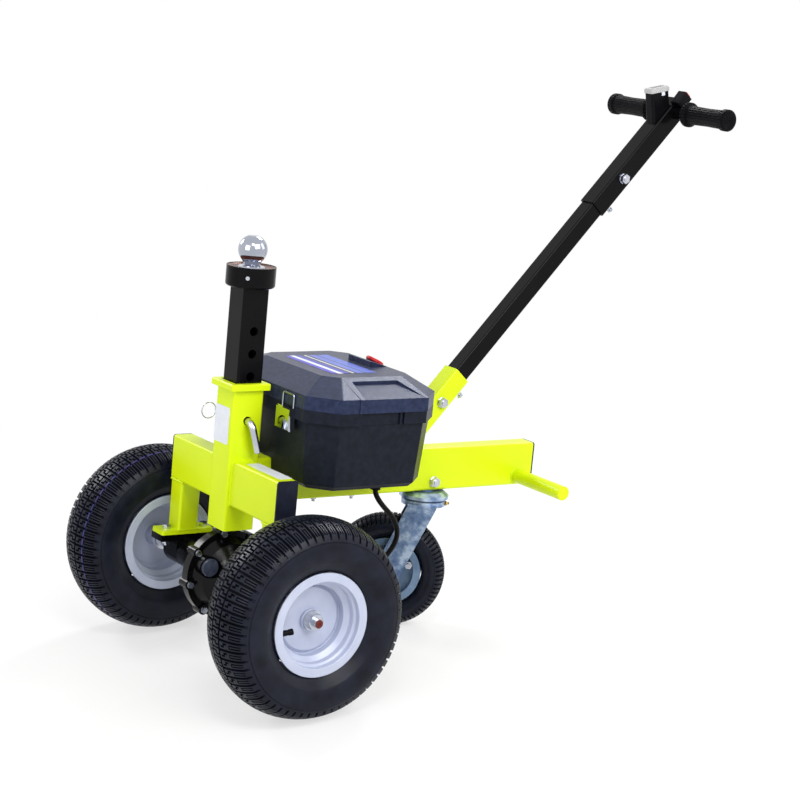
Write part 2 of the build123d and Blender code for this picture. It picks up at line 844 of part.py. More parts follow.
def battery_lid():
    low = box_parting + seat_gap
    hull = lid_shell(low, 0, 0) + side_panel() + mirror(side_panel(), Plane.XZ) + top_pad()
    pocket = side_pocket(0)
    lining = side_pocket(box_wall)
    hollow = lid_shell(low, box_wall, box_wall) - lining - mirror(lining, Plane.XZ)
    lid = hull - pocket - mirror(pocket, Plane.XZ) - hollow
    rear = box_x + box_length / 2
    for y in hinge_places(0):
        half = hinge_knuckle / 2
        lid += box(rear - 1, rear + hinge_reach, y - half, y + half, low, box_parting + hinge_leaf)
        lid += hinge_barrel(y, hinge_knuckle)
    return lid - hinge_bore(running_clearance)


def knob_plane():
    """The plane of the isolator's red face."""
    tilt = radians(knob_tilt)
    return Plane(origin=(knob_x, knob_y, knob_height), x_dir=(0, 1, 0), z_dir=(sin(tilt), 0, cos(tilt)))


def isolator_base():
    low = box_parting + seat_gap
    base = Pos(0, 0, -knob_thickness) * extrude(Circle(knob_base_diameter / 2), -knob_base_diameter)
    return knob_plane() * base - lid_shell(low, 0, 0) - top_pad()


def isolator_knob():
    knob = chamfer(extrude(Circle(knob_diameter / 2), -knob_thickness).edges().filter_by(GeomType.CIRCLE), knob_edge)
    return knob_plane() * knob - top_pad()


# Wheels: each is made about +Z, which points away from the machine
def tyre_ring(seat, lip, seat_half, bulge, shoulder, radius):
    """A tyre from its seat on the rim, over lip, bulge and shoulder (radius, half width), to the tread."""
    with BuildPart() as tyre:
        with BuildSketch(Plane.XZ):
            with BuildLine():
                low = (lip + 1.5, seat_half)
                Polyline((lip + 1.5, -seat_half), (seat, -seat_half), (seat, seat_half), low)
                ThreePointArc(low, bulge, shoulder)
                ThreePointArc(shoulder, (radius, 0), (shoulder[0], -shoulder[1]))
                ThreePointArc((shoulder[0], -shoulder[1]), (bulge[0], -bulge[1]), (lip + 1.5, -seat_half))
            make_face()
        revolve(axis=Axis.Z)
    return tyre.part


def pressed(outline):
    """A wheel pressing turned from its outline, with its bends rounded."""
    profile = make_face(Polyline(*outline, close=True))
    return revolve(Plane.XZ * fillet(profile.vertices(), rim_bend), Axis.Z)


def drive_plane(side):
    return Plane(origin=(axle_x, side * wheel_y, axle_height), x_dir=(1, 0, 0), z_dir=(0, side, 0))


def drive_tyre(side):
    ring = tyre_ring(rim_seat_radius + fit_gap, rim_lip_radius, rim_width / 2 - rim_wall - 1,
                     (tyre_bulge_radius, tyre_width / 2), (tyre_shoulder_radius, tyre_shoulder), tyre_radius)
    return drive_plane(side) * ring


def drive_rim(side):
    """A pressed rim with a stepped drop centre, a dished disc and a hub tube."""
    half = rim_width / 2
    ledge = half - rim_wall
    wall = rim_wall
    seat = rim_seat_radius
    step = rim_step_radius
    well = rim_well_radius
    hub = hub_diameter / 2
    bore = axle_diameter / 2 + fit_gap
    outside = [(rim_lip_radius, half), (rim_lip_radius, ledge), (seat, ledge), (seat, rim_seat_low)]
    outside += [(step, rim_seat_low - wall), (step, rim_step_low), (well, rim_well_low)]
    inside = [(well - wall, rim_well_low), (step - wall, rim_step_low + 1), (step - wall, rim_seat_low - wall + 1)]
    inside += [(seat - wall, rim_seat_low + 1), (seat - wall, half)]
    disc = [(well - wall, rim_disc - wall - rim_dish), (well - 2 * rim_dish, rim_disc), (hub, rim_disc)]
    disc += [(hub, hub_low), (bore, hub_low), (bore, hub_high), (hub, hub_high), (hub, rim_disc + wall)]
    disc += [(well - 2 * rim_dish, rim_disc + wall), (well - wall, rim_disc - rim_dish + wall)]
    outline = outside + [(across, -height) for across, height in reversed(outside)]
    outline += [(across, -height) for across, height in reversed(inside)] + disc + inside
    return drive_plane(side) * pressed(outline)


def drive_axle(side):
    inner = wheel_y - axle_inner_end
    end = hub_high + 2
    shaft = rod(axle_diameter / 2, inner + end, (0, 0, -inner), (0, 0, 1))
    collar_start = hub_low - axle_collar_width - fit_gap
    collar = rod(axle_collar_diameter / 2, axle_collar_width, (0, 0, collar_start), (0, 0, 1))
    thread = rod(axle_thread_diameter / 2, axle_thread_length, (0, 0, end), (0, 0, 1))
    washer = rod(axle_nut_size / 2 + 4, axle_washer_height, (0, 0, end), (0, 0, 1))
    nut = extrude(RegularPolygon(axle_nut_size / 2, 6, major_radius=False), axle_nut_height)
    return drive_plane(side) * (shaft + collar + thread + washer + Pos(0, 0, end + axle_washer_height) * nut)


def axle_tube(side):
    """The axle's housing, with the saddle that the foot plate is bolted to."""
    start = gear_case_offset + side * gear_case_half
    tube = rod(axle_tube_diameter / 2, axle_tube_end - side * start, (axle_x, start, axle_height), (0, side, 0))
    top = foot_top - foot_thickness
    half = leg_size / 2
    y = side * leg_y
    front = axle_x - saddle_block_half
    saddle = box(front, front + 2 * saddle_block_half, y - half, y + half, axle_height - saddle_drop, top)
    plate_front = arm_x - foot_length / 2
    saddle += box(plate_front, plate_front + foot_length, y - half, y + half, top - saddle_plate, top)
    bore = rod(axle_diameter / 2 + running_clearance, track, (axle_x, 0, axle_height), (0, side, 0))
    return tube + saddle - foot_bolt_holes(side) - bore


# Gear case and motor
def case_plane():
    """The gear case's middle plane, with Z toward the operator's left."""
    return Plane(origin=(axle_x, gear_case_offset, axle_height), x_dir=(1, 0, 0), z_dir=(0, -1, 0))


def plug_place(depth):
    """The filler plug's centre in the case plane, depth out from the middle plane."""
    return Pos(plug_x, plug_rise, depth)


def boss_height():
    return boss_face + gear_case_offset


def gear_case():
    """A case in two halves, bolted through the lugs around its flange."""
    half = gear_case_half
    radius = gear_case_radius
    face = gear_case_face
    near = [(0, half), (face, half), (face + case_shoulder, half - case_shoulder)]
    near += [(radius - case_drop, half - 2.5 * case_shoulder), (radius, flange_half), (gear_case_flange, flange_half)]
    far = [(across, -height) for across, height in reversed(near)]
    case = turned(near + far)
    lug_half = flange_half + lug_proud
    for x, y in case_bolt_places():
        case += rod(case_lug_radius, 2 * lug_half, (x, y, -lug_half), (0, 0, 1))
    case += plug_place(0) * extrude(Circle(boss_diameter / 2), boss_height())
    case -= plug_place(boss_height()) * extrude(Circle(boss_diameter / 2), gear_case_half)
    for x, y in case_bolt_places():
        hole = case_bolt_diameter / 2 + slide_clearance
        case -= rod(hole, 4 * lug_half, (x, y, -2 * lug_half), (0, 0, 1))
    length = motor_start - neck_start
    neck = rod(neck_diameter / 2, length, (axle_x + neck_start, 0, axle_height), (1, 0, 0))
    bore = rod(axle_diameter / 2 + running_clearance, track, (axle_x, -wheel_y, axle_height), (0, 1, 0))
    return case_plane() * case + neck - bore


def case_bolt_places():
    angles = [radians(angle) for angle in case_bolt_angles]
    return [(case_bolt_radius * cos(a), case_bolt_radius * sin(a)) for a in angles]


def gear_bolts():
    width = 2 * (flange_half + lug_proud)
    bolt = Rot(180, 0, 0) * through_bolt(case_bolt_diameter, width, case_bolt_stub)
    return [case_plane() * Pos(x, y, width / 2) * bolt for x, y in case_bolt_places()]


def filler_plug():
    plug = extrude(Circle(plug_diameter / 2), plug_thickness)
    plug = chamfer(plug.edges().filter_by(GeomType.CIRCLE).group_by(Axis.Z)[-1], 1)
    slot = Pos(0, 0, plug_thickness) * Box(plug_slot_width, 2 * plug_diameter, 2 * plug_slot_depth)
    return case_plane() * plug_place(boss_height()) * (plug - Rot(0, 0, -plug_slot_turn) * slot)


def drive_motor():
    body = rod(motor_diameter / 2, motor_length, (axle_x + motor_start, 0, axle_height), (1, 0, 0))
    return chamfer(body.edges().filter_by(GeomType.CIRCLE), motor_edge)


# Caster
caster_frame = Plane(origin=(caster_x, 0, 0), x_dir=(-cos(swing), -sin(swing), 0), z_dir=(0, 0, 1))
caster_hub_plane = Plane(origin=(caster_trail, 0, caster_axle_height), x_dir=(1, 0, 0), z_dir=(0, 1, 0))
caster_wheel = caster_frame * caster_hub_plane.location


def caster_mount():
    """The dished upper race under the beam, its boss and the kingpin with its nut."""
    radius = race_diameter / 2
    wall = race_wall
    outline = [(0, race_top), (race_flat_radius, race_top), (radius, race_top - 7), (radius, race_bottom)]
    outline += [(radius - wall, race_bottom), (radius - wall, race_top - 8), (race_flat_radius, race_top - wall - 1)]
    outline += [(race_boss_diameter / 2, race_top - wall - 1), (race_boss_diameter / 2, crown_top + seat_gap)]
    outline += [(0, crown_top + seat_gap)]
    race = turned(outline)
    weld = rod(race_flat_radius / 2, frame_bottom - race_top, (0, 0, race_top), (0, 0, 1))
    stud = rod(kingpin_diameter / 2, race_top - kingpin_end, (0, 0, kingpin_end), (0, 0, 1))
    nut_height = crown_bottom - seat_gap - kingpin_end - 2
    nut = Pos(0, 0, kingpin_end + 2) * extrude(hexagon(kingpin_diameter), nut_height)
    return Pos(caster_x, 0, 0) * (race + weld + stud + nut)


def fork_leg():
    """One leg's outline, of constant width from the crown back to the axle."""
    half = fork_leg_half
    run = caster_trail
    drop = crown_bottom - caster_axle_height
    top = crown_bottom + fork_thickness
    edge = [(-half, top), (half, top), (half, crown_bottom), (run + half, caster_axle_height)]
    edge += [(run - half, caster_axle_height), (-half, crown_bottom)]
    foot = Pos(run, caster_axle_height) * Circle(half * cos(atan(run / drop)))
    return make_face(Polyline(*edge, close=True)) + foot


def caster_fork():
    half = fork_gap / 2
    outer = half + fork_thickness
    crown = Pos(0, 0, crown_bottom) * extrude(Circle(crown_diameter / 2), crown_top - crown_bottom)
    crown = chamfer(crown.edges().filter_by(GeomType.CIRCLE).group_by(Axis.Z)[-1], crown_edge)
    leg_top = crown_bottom + fork_thickness
    fork = crown + box(-fork_leg_half, fork_leg_half, -outer, outer, crown_bottom, leg_top)
    for side in (-1, 1):
        leg = extrude(Plane.XZ * fork_leg(), fork_thickness / 2, both=True)
        fork += Pos(0, side * (half + fork_thickness / 2), 0) * leg
    fork -= rod(kingpin_diameter / 2 + running_clearance, crown_top, (0, 0, 0), (0, 0, 1))
    hole = caster_bolt_diameter / 2 + fit_gap
    fork -= rod(hole, 4 * fork_gap, (caster_trail, -2 * fork_gap, caster_axle_height), (0, 1, 0))
    return caster_frame * fork


def caster_axle():
    half = fork_gap / 2 + fork_thickness
    width = 2 * (half + fit_gap)
    return caster_wheel * Pos(0, 0, -width / 2) * through_bolt(caster_bolt_diameter, width, bolt_stub + 3)


def caster_tyre():
    ring = tyre_ring(caster_seat_radius + fit_gap, caster_lip_radius, caster_rim_width / 2 - rim_wall - 1,
                     (caster_bulge_radius, caster_tyre_width / 2), (caster_shoulder_radius, caster_shoulder),
                     caster_tyre_radius)
    return caster_wheel * ring


def rim_bolt_places():
    turn = 360 / rim_bolts_around
    angles = [radians(rim_bolt_angle + k * turn) for k in range(rim_bolts_around)]
    return [(rim_bolt_radius * cos(a), -rim_bolt_radius * sin(a)) for a in angles]


def caster_rim():
    """A flat disc rim in two pressings that four bolts hold together."""
    half = caster_rim_width / 2
    inner = caster_seat_radius - rim_wall
    disc = caster_disc_thickness / 2
    hub = caster_hub_diameter / 2
    bore = caster_bolt_diameter / 2 + running_clearance
    end = caster_hub / 2
    right = [(caster_lip_radius, half), (inner, half), (inner, disc), (hub, disc), (hub, end), (bore, end)]
    left = [(bore, -end), (hub, -end), (hub, -disc), (inner, -disc), (inner, -half), (caster_lip_radius, -half)]
    seat = [(caster_lip_radius, rim_wall - half), (caster_seat_radius, rim_wall - half)]
    seat += [(caster_seat_radius, half - rim_wall), (caster_lip_radius, half - rim_wall)]
    rim = pressed(right + left + seat)
    for x, y in rim_bolt_places():
        rim -= rod(rim_bolt_diameter / 2 + slide_clearance, half, (x, y, -half / 2), (0, 0, 1))
    return caster_wheel * rim


def rim_bolts():
    width = caster_disc_thickness
    bolt = through_bolt(rim_bolt_diameter, width, bolt_stub, rim_bolt_washer)
    return [caster_wheel * Pos(x, y, -width / 2) * bolt for x, y in rim_bolt_places()]


# Bolts that hold the frame, the box and the handle
def frame_bolts():
    """The bolt across the beam, two across the handle, two clamps and four in the feet."""
    beam_plane = Plane(origin=(beam_bolt_x, beam_width / 2, beam_bolt_height), z_dir=(0, -1, 0))
    bolts = [beam_plane * through_bolt(beam_bolt_diameter, beam_width, bolt_stub)]
    for station, size in ((socket_bolt_station, socket_size), (sleeve_bolt_station, sleeve_size)):
        plane = Plane(origin=handle_point(station, 0, size / 2), z_dir=(0, -1, 0))
        bolts.append(plane * through_bolt(handle_bolt_diameter, size, bolt_stub))
    bolts.append(clamp_bolt(socket_clamp_station, socket_size))
    bolts.append(clamp_bolt(sleeve_clamp_station, sleeve_size))
    for side in (-1, 1):
        for place in foot_bolt_places(side):
            plane = Plane(origin=(place[0], place[1], foot_top), z_dir=(0, 0, -1))
            bolts.append(plane * through_bolt(foot_bolt_diameter, foot_thickness + saddle_plate, bolt_stub))
    return bolts


def clamp_bolt(station, size):
    """A screw in a nut on the handle's underside, against the tube inside."""
    start = handle_tube_size / 2 + seat_gap
    under = size / 2
    shank = rod(clamp_diameter / 2, under + clamp_reach - start, handle_point(station, -start), handle_down())
    plane = Plane(origin=handle_point(station, -under), z_dir=handle_down())
    nut = extrude(hexagon(clamp_diameter), nut_height * clamp_diameter)
    head = extrude(hexagon(clamp_diameter), head_height * clamp_diameter)
    return shank + plane * nut + plane * Pos(0, 0, clamp_reach - head_height * clamp_diameter) * head


def box_bolts():
    """Bolts that hold the tub down on the beam, with their nuts under the beam."""
    top = frame_top + slide_clearance + box_wall
    radius = box_bolt_diameter / 2
    bolts = []
    for x in box_bolt_places:
        shank = rod(radius, top - frame_bottom + box_bolt_drop, (x, 0, frame_bottom - box_bolt_drop), (0, 0, 1))
        head = rod(1.2 * box_bolt_diameter, 0.6 * box_bolt_diameter, (x, 0, top), (0, 0, 1))
        nut = Pos(x, 0, frame_bottom - 0.9 * box_bolt_diameter) * extrude(hexagon(box_bolt_diameter), 0.9 * box_bolt_diameter)
        bolts.append(shank + head + nut)
    return bolts


# Power cable from under the battery box to the motor
def power_cable():
    path = FilletPolyline(*cable_points, radius=cable_radii())
    return sweep(Plane(origin=path @ 0, z_dir=path % 0) * Circle(cable_diameter / 2), path=path)


def cable_radii():
    """The largest tidy bend at each corner: 0.45 of the shorter run is given to it."""
    radii = []
    for before, corner, after in zip(cable_points, cable_points[1:], cable_points[2:]):
        one = Vector(*corner) - Vector(*before)
        two = Vector(*after) - Vector(*corner)
        turn = radians(one.get_angle(two))
        radii.append(0.45 * min(one.length, two.length) / tan(turn / 2))
    return radii


def cable_glands():
    radius = gland_diameter / 2
    tub_end = rod(radius, box_bottom - cable_points[0][2], cable_points[0], (0, 0, 1))
    x, y, z = cable_points[-1]
    return [tub_end, rod(radius, -y, (x, y, z), (0, 1, 0)) - drive_motor()]


# Pitch: the machine leans back until the caster's tyre is on the floor as well
def lean_back():
    drop = caster_tyre_radius - caster_shoulder_radius
    crown = (drop ** 2 + caster_shoulder ** 2) / (2 * drop)
    run = caster_x - caster_trail * cos(swing) - axle_x
    rise = axle_height - caster_axle_height
    pitch = 0.0
    for _ in range(20):
        tilt = sin(swing) * sin(pitch)
        reach = (caster_tyre_radius - crown) * sqrt(1 - tilt ** 2) + crown
        pitch = asin((tyre_radius - reach) / hypot(run, rise)) - atan2(rise, run)
    return degrees(pitch)


nodes = {
    "hitch_post": hitch_post(), "post_collar": post_collar(), "ball_tube": ball_tube(), "ball_cup": ball_cup(),
    "ball_ring": ball_ring(), "set_screw": set_screw(), "tow_ball": tow_ball(), "hitch_pin": hitch_pin(),
    "pin_clip": pin_clip(), "main_beam": main_beam(), "end_caps": end_caps(), "foot_bar": foot_bar(),
    "handle_socket": handle_socket(), "handle_tube": handle_tube(), "handle_sleeve": handle_sleeve(),
    "handlebar": handlebar(), "gauge_housing": gauge_housing(), "gauge_cap": gauge_cap(),
    "switch_box": switch_box(), "rocker_switch": rocker_switch(), "battery_tub": battery_tub(),
    "batteries": batteries(), "battery_lid": battery_lid(), "hinge_pins": hinge_pins(), "latches": latches(),
    "isolator_base": isolator_base(), "isolator_knob": isolator_knob(), "frame_bolts": frame_bolts(),
    "box_bolts": box_bolts(), "gear_case": gear_case(), "gear_bolts": gear_bolts(), "filler_plug": filler_plug(),
    "drive_motor": drive_motor(), "power_cable": power_cable(), "cable_glands": cable_glands(),
    "caster_mount": caster_mount(), "caster_fork": caster_fork(), "caster_axle": caster_axle(),
    "caster_rim": caster_rim(), "rim_bolts": rim_bolts(), "caster_tyre": caster_tyre(),
}
for side, name in ((-1, "left"), (1, "right")):
    nodes[name + "_cross_arm"] = cross_arm(side)
    nodes[name + "_leg"] = axle_leg(side)
    nodes[name + "_foot_plate"] = foot_plate(side)
    nodes[name + "_grip"] = grip(side)
    nodes[name + "_axle_tube"] = axle_tube(side)
    nodes[name + "_axle"] = drive_axle(side)
    nodes[name + "_rim"] = drive_rim(side)
    nodes[name + "_tyre"] = drive_tyre(side)

tip = Rot(0, lean_back(), 0)
solids = {}
for name, piece in nodes.items():
    group = piece if isinstance(piece, list) else [piece]
    solids[name] = [solid for part in group for solid in (tip * part).solids()]
boxes = [solid.bounding_box() for group in solids.values() for solid in group]
low = [min(tuple(box.min)[k] for box in boxes) for k in range(3)]
high = [max(tuple(box.max)[k] for box in boxes) for k in range(3)]
stand = Pos(-(low[0] + high[0]) / 2, -(low[1] + high[1]) / 2, -low[2])
os.makedirs("parts", exist_ok=True)
for name, group in solids.items():
    placed = [stand * solid for solid in group]
    export_step(placed[0] if len(placed) == 1 else Compound(children=placed), "parts/" + name + ".step")
print("power cable bend radii", [round(radius, 1) for radius in cable_radii()])
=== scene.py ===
import json
from math import atan2, cos, hypot, pi, radians, sin

import bpy
from mathutils import Matrix, Vector


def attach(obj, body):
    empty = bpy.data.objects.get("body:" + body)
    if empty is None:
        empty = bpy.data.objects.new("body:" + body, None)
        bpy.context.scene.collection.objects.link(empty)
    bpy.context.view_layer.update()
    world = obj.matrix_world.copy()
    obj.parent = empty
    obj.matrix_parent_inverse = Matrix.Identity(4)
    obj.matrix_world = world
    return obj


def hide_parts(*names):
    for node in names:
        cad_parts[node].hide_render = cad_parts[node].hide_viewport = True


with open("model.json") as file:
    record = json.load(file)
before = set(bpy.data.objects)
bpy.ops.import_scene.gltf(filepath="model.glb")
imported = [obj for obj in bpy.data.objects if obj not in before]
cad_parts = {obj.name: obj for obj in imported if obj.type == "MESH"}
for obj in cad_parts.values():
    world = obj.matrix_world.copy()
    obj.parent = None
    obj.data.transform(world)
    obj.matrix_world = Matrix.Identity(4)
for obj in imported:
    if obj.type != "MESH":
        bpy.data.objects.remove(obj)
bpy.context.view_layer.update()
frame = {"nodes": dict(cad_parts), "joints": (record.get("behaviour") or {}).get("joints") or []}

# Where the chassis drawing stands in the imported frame: its lean in radians, its shift in metres
PITCH = radians(5.670602)
SHIFT = Vector((-0.439557, 0.0, 0.00348756))
CHASSIS = Matrix.Translation(SHIFT) @ Matrix.Rotation(PITCH, 4, "Y")

# Places in the chassis drawing, in millimetres
post_half = 30.0
post_top = 505.0
arm_x = -3.0
tube_half = 20.0
frame_bottom = 301.0
frame_top = 381.0
leg_y = 158.6
foot_top = 213.4
foot_bar_x = 610.0
foot_bar_height = 319.0
foot_bar_radius = 13.5
axle_x = 1.6
axle_height = 169.5
wheel_y = 262.0
caster_x = 412.0
crown_middle = 277.0
crown_radius = 41.0
lid_top = 540.5
handle_foot_x = 339.5
handle_slope = radians(48.2)
bar_station = 853.0
gauge_station = 829.0


def at(x, y, z):
    """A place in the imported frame, from the chassis drawing's millimetres."""
    return CHASSIS @ Vector((x / 1000, y / 1000, z / 1000))


def on_handle(station, lift=0.0):
    """The chassis drawing's x and z at a distance along the handle, lifted square to it."""
    x = handle_foot_x + station * cos(handle_slope) - lift * sin(handle_slope)
    z = frame_top + station * sin(handle_slope) + lift * cos(handle_slope)
    return x, z


# Camera, at the photograph's angle
camera_data = bpy.data.cameras.new("camera")
camera_data.lens = 96.474
camera_data.sensor_width = 36.0
camera_data.clip_end = 50.0
camera = bpy.data.objects.new("camera", camera_data)
camera.location = (-2.19345, -3.11617, 1.39094)
camera.rotation_euler = (radians(75.84091), radians(-0.61244), radians(-34.28183))
bpy.context.scene.collection.objects.link(camera)
bpy.context.scene.camera = camera

# Power cable, from the box's gland down and round to the motor's gland
cable_points = [(212, -128, 342), (212, -128, 328), (266, -132, 278), (266, -128, 232), (216, -112, 178),
                (200, -80, 170), (200, -58, 170)]
cable_diameter = 0.0094
cable_line = bpy.data.curves.new("power_cable_sheath", "CURVE")
cable_line.dimensions = "3D"
cable_line.bevel_depth = 1.0
cable_line.bevel_resolution = 6
cable_line.resolution_u = 16
cable_spline = cable_line.splines.new("NURBS")
cable_spline.points.add(len(cable_points) - 1)
for point, place in zip(cable_spline.points, cable_points):
    point.co = (*at(*place), 1.0)
    point.radius = cable_diameter / 2
cable_spline.order_u = 3
cable_spline.use_endpoint_u = True
cable = bpy.data.objects.new("power_cable_sheath", cable_line)
bpy.context.scene.collection.objects.link(cable)
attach(cable, "chassis")
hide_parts("power_cable")


# Materials
def linear(red, green, blue):
    """A colour given in screen values from 0 to 255."""
    parts = []
    for value in (red, green, blue):
        s = value / 255
        parts.append(s / 12.92 if s <= 0.04045 else ((s + 0.055) / 1.055) ** 2.4)
    return (*parts, 1.0)


class Finish:
    """One procedural material, with short calls for the nodes that repeat."""

    def __init__(self, name, colour, roughness, metallic=0.0, gloss=0.5):
        self.material = bpy.data.materials.new(name)
        self.material.use_nodes = True
        self.tree = self.material.node_tree
        self.shader = self.tree.nodes["Principled BSDF"]
        self.place = self.tree.nodes.new("ShaderNodeTexCoord").outputs["Object"]
        self.set("Base Color", colour)
        self.set("Roughness", roughness)
        self.set("Metallic", metallic)
        self.set("Specular IOR Level", gloss)

    def set(self, socket, value):
        self.shader.inputs[socket].default_value = value

    def link(self, out, into):
        self.tree.links.new(out, into)

    def noise(self, scale, detail, roughness=0.5):
        node = self.tree.nodes.new("ShaderNodeTexNoise")
        node.inputs["Scale"].default_value = scale
        node.inputs["Detail"].default_value = detail
        node.inputs["Roughness"].default_value = roughness
        self.link(self.place, node.inputs["Vector"])
        return node.outputs["Fac"]

    def maths(self, operation, *values):
        node = self.tree.nodes.new("ShaderNodeMath")
        node.operation = operation
        for socket, value in zip(node.inputs, values):
            if isinstance(value, (int, float)):
                socket.default_value = value
            else:
                self.link(value, socket)
        return node.outputs["Value"]

    def colours(self, value, stops):
        """Colours the surface along a ramp of (place, colour)."""
        node = self.tree.nodes.new("ShaderNodeValToRGB")
        elements = node.color_ramp.elements
        while len(elements) < len(stops):
            elements.new(0.5)
        for element, (spot, colour) in zip(elements, stops):
            element.position = spot
            element.color = colour
        self.link(value, node.inputs["Fac"])
        self.link(node.outputs["Color"], self.shader.inputs["Base Color"])

    def roughen(self, value, low, high):
        node = self.tree.nodes.new("ShaderNodeMapRange")
        node.inputs["To Min"].default_value = low
        node.inputs["To Max"].default_value = high
        self.link(value, node.inputs["Value"])
        self.link(node.outputs["Result"], self.shader.inputs["Roughness"])

    def bump(self, value, strength, distance):
        node = self.tree.nodes.new("ShaderNodeBump")
        node.inputs["Strength"].default_value = strength
        node.inputs["Distance"].default_value = distance
        self.link(value, node.inputs["Height"])
        self.link(node.outputs["Normal"], self.shader.inputs["Normal"])


patch_detail = 4.0
patch_stops = (0.3, 0.7)
smudge_scale = 2.3
smudge_detail = 3.0
grain_detail = 2.0
grain_strength = 0.35


def varied(name, light, dark, scale, roughness, spread, grain, depth, metallic, gloss):
    """A finish whose colour, roughness and surface all vary a little."""
    finish = Finish(name, linear(*light), roughness, metallic, gloss)
    stops = zip(patch_stops, (linear(*dark), linear(*light)))
    finish.colours(finish.noise(scale, patch_detail), list(stops))
    smudges = finish.noise(scale * smudge_scale, smudge_detail)
    finish.roughen(smudges, roughness - spread, roughness + spread)
    finish.bump(finish.noise(grain, grain_detail), grain_strength, depth)
    return finish


def galvanised(name, scale, stops):
    """Zinc plating: soft cloudy patches, partly the zinc's own mottle and partly painted highlights in the
    pale ones, with a fine grain.
    """
    finish = Finish(name, stops[-1][1], 0.35, metallic=0.7, gloss=0.4)
    patches_and_highlights = finish.noise(scale, 5.0, 0.62)
    finish.colours(patches_and_highlights, stops)
    finish.roughen(patches_and_highlights, 0.42, 0.22)
    finish.bump(finish.noise(scale * 9, grain_detail), 0.25, 0.0001)
    return finish


def fluted(name, centre, flutes_around):
    """Grip rubber, with flutes along a bar that lies along Y through centre."""
    finish = Finish(name, linear(9, 9, 13), 0.5, gloss=0.06)
    finish.colours(finish.noise(60, 3.0), [(0.3, linear(4, 4, 7)), (0.7, linear(10, 10, 14))])
    finish.roughen(finish.noise(120, 2.0), 0.42, 0.58)
    split = finish.tree.nodes.new("ShaderNodeSeparateXYZ")
    finish.link(finish.place, split.inputs["Vector"])
    across = finish.maths("SUBTRACT", split.outputs["X"], centre.x)
    upward = finish.maths("SUBTRACT", split.outputs["Z"], centre.z)
    angle = finish.maths("ARCTAN2", upward, across)
    finish.bump(finish.maths("SINE", finish.maths("MULTIPLY", angle, flutes_around)), 0.8, 0.0012)
    return finish


# Each row: light and dark colour, patch scale, roughness and its spread, grain scale and its depth in
# metres, metal, gloss. Gloss is low on dark pieces, because their surroundings are white.
finish_rows = {
    "lime_paint": ((216, 238, 18), (210, 232, 12), 9, 0.3, 0.05, 600, 0.00012, 0.0, 0.22),
    "black_paint": ((11, 11, 13), (6, 6, 8), 12, 0.2, 0.05, 700, 0.0001, 0.0, 0.1),
    "lid_plastic": ((45, 52, 78), (31, 36, 57), 110, 0.32, 0.05, 900, 0.0006, 0.0, 0.2),
    "tub_plastic": ((28, 32, 43), (20, 23, 32), 90, 0.36, 0.08, 900, 0.0004, 0.0, 0.1),
    "black_plastic": ((12, 12, 16), (8, 8, 11), 40, 0.36, 0.06, 800, 0.0002, 0.0, 0.08),
    "cap_plastic": ((30, 34, 49), (22, 25, 37), 50, 0.36, 0.06, 700, 0.0002, 0.0, 0.12),
    # The filler plug's blue-grey is lighter than its black plastic: painted sheen standing in for its
    # reflections
    "plug_plastic": ((72, 78, 98), (54, 59, 76), 50, 0.2, 0.05, 700, 0.0001, 0.0, 0.5),
    "rubber": ((24, 27, 41), (12, 14, 24), 35, 0.34, 0.08, 500, 0.0004, 0.0, 0.17),
    # The tread's own rubber, painted darker and duller on the groove floors as painted shade
    "groove_shade_rubber": ((14, 15, 24), (8, 9, 15), 35, 0.6, 0.08, 500, 0.0003, 0.0, 0.06),
    "violet_line": ((92, 84, 176), (60, 54, 130), 90, 0.5, 0.08, 500, 0.0002, 0.0, 0.2),
    "silver_paint": ((188, 194, 214), (178, 185, 206), 30, 0.36, 0.06, 900, 0.00012, 0.1, 0.35),
    "green_zinc": ((116, 140, 168), (92, 114, 142), 40, 0.36, 0.06, 700, 0.00015, 0.3, 0.3),
    "chrome": ((182, 186, 197), (168, 173, 186), 20, 0.05, 0.02, 400, 0.00003, 1.0, 0.5),
    "plated": ((206, 209, 217), (178, 183, 195), 45, 0.22, 0.07, 500, 0.00015, 1.0, 0.5),
    "cast_black": ((8, 8, 10), (4, 4, 6), 30, 0.2, 0.06, 260, 0.0005, 0.0, 0.16),
    "red_plastic": ((204, 32, 44), (182, 20, 32), 30, 0.32, 0.05, 600, 0.0002, 0.0, 0.3),
    "silver_plastic": ((184, 184, 184), (176, 176, 176), 60, 0.3, 0.05, 900, 0.00004, 0.2, 0.3),
    "cable_black": ((8, 8, 11), (4, 4, 6), 30, 0.3, 0.06, 500, 0.0002, 0.0, 0.12),
    "bronze": ((112, 62, 46), (70, 36, 27), 60, 0.34, 0.1, 500, 0.0003, 0.4, 0.3),
    "label_white": ((226, 229, 236), (216, 220, 229), 60, 0.38, 0.05, 900, 0.00005, 0.0, 0.3),
    "label_violet": ((62, 48, 196), (48, 34, 172), 50, 0.3, 0.04, 900, 0.00005, 0.0, 0.3),
    "label_blue": ((34, 44, 170), (26, 34, 150), 50, 0.3, 0.04, 900, 0.00005, 0.0, 0.3),
    "label_pale": ((84, 108, 206), (70, 92, 190), 50, 0.3, 0.04, 900, 0.00005, 0.0, 0.3),
    "label_dark": ((14, 14, 34), (9, 9, 26), 50, 0.3, 0.04, 900, 0.00005, 0.0, 0.3),
    "brass": ((196, 164, 96), (170, 138, 76), 60, 0.26, 0.06, 500, 0.0001, 1.0, 0.5),
    "red_brown": ((112, 40, 34), (84, 26, 24), 90, 0.45, 0.08, 500, 0.0002, 0.0, 0.3),
}
finishes = {name: varied(name, *row) for name, row in finish_rows.items()}
# A blue specular tint on the lid: a painted blue sheen on its reflections
finishes["lid_plastic"].set("Specular Tint", (0.5, 0.62, 1.0, 1.0))
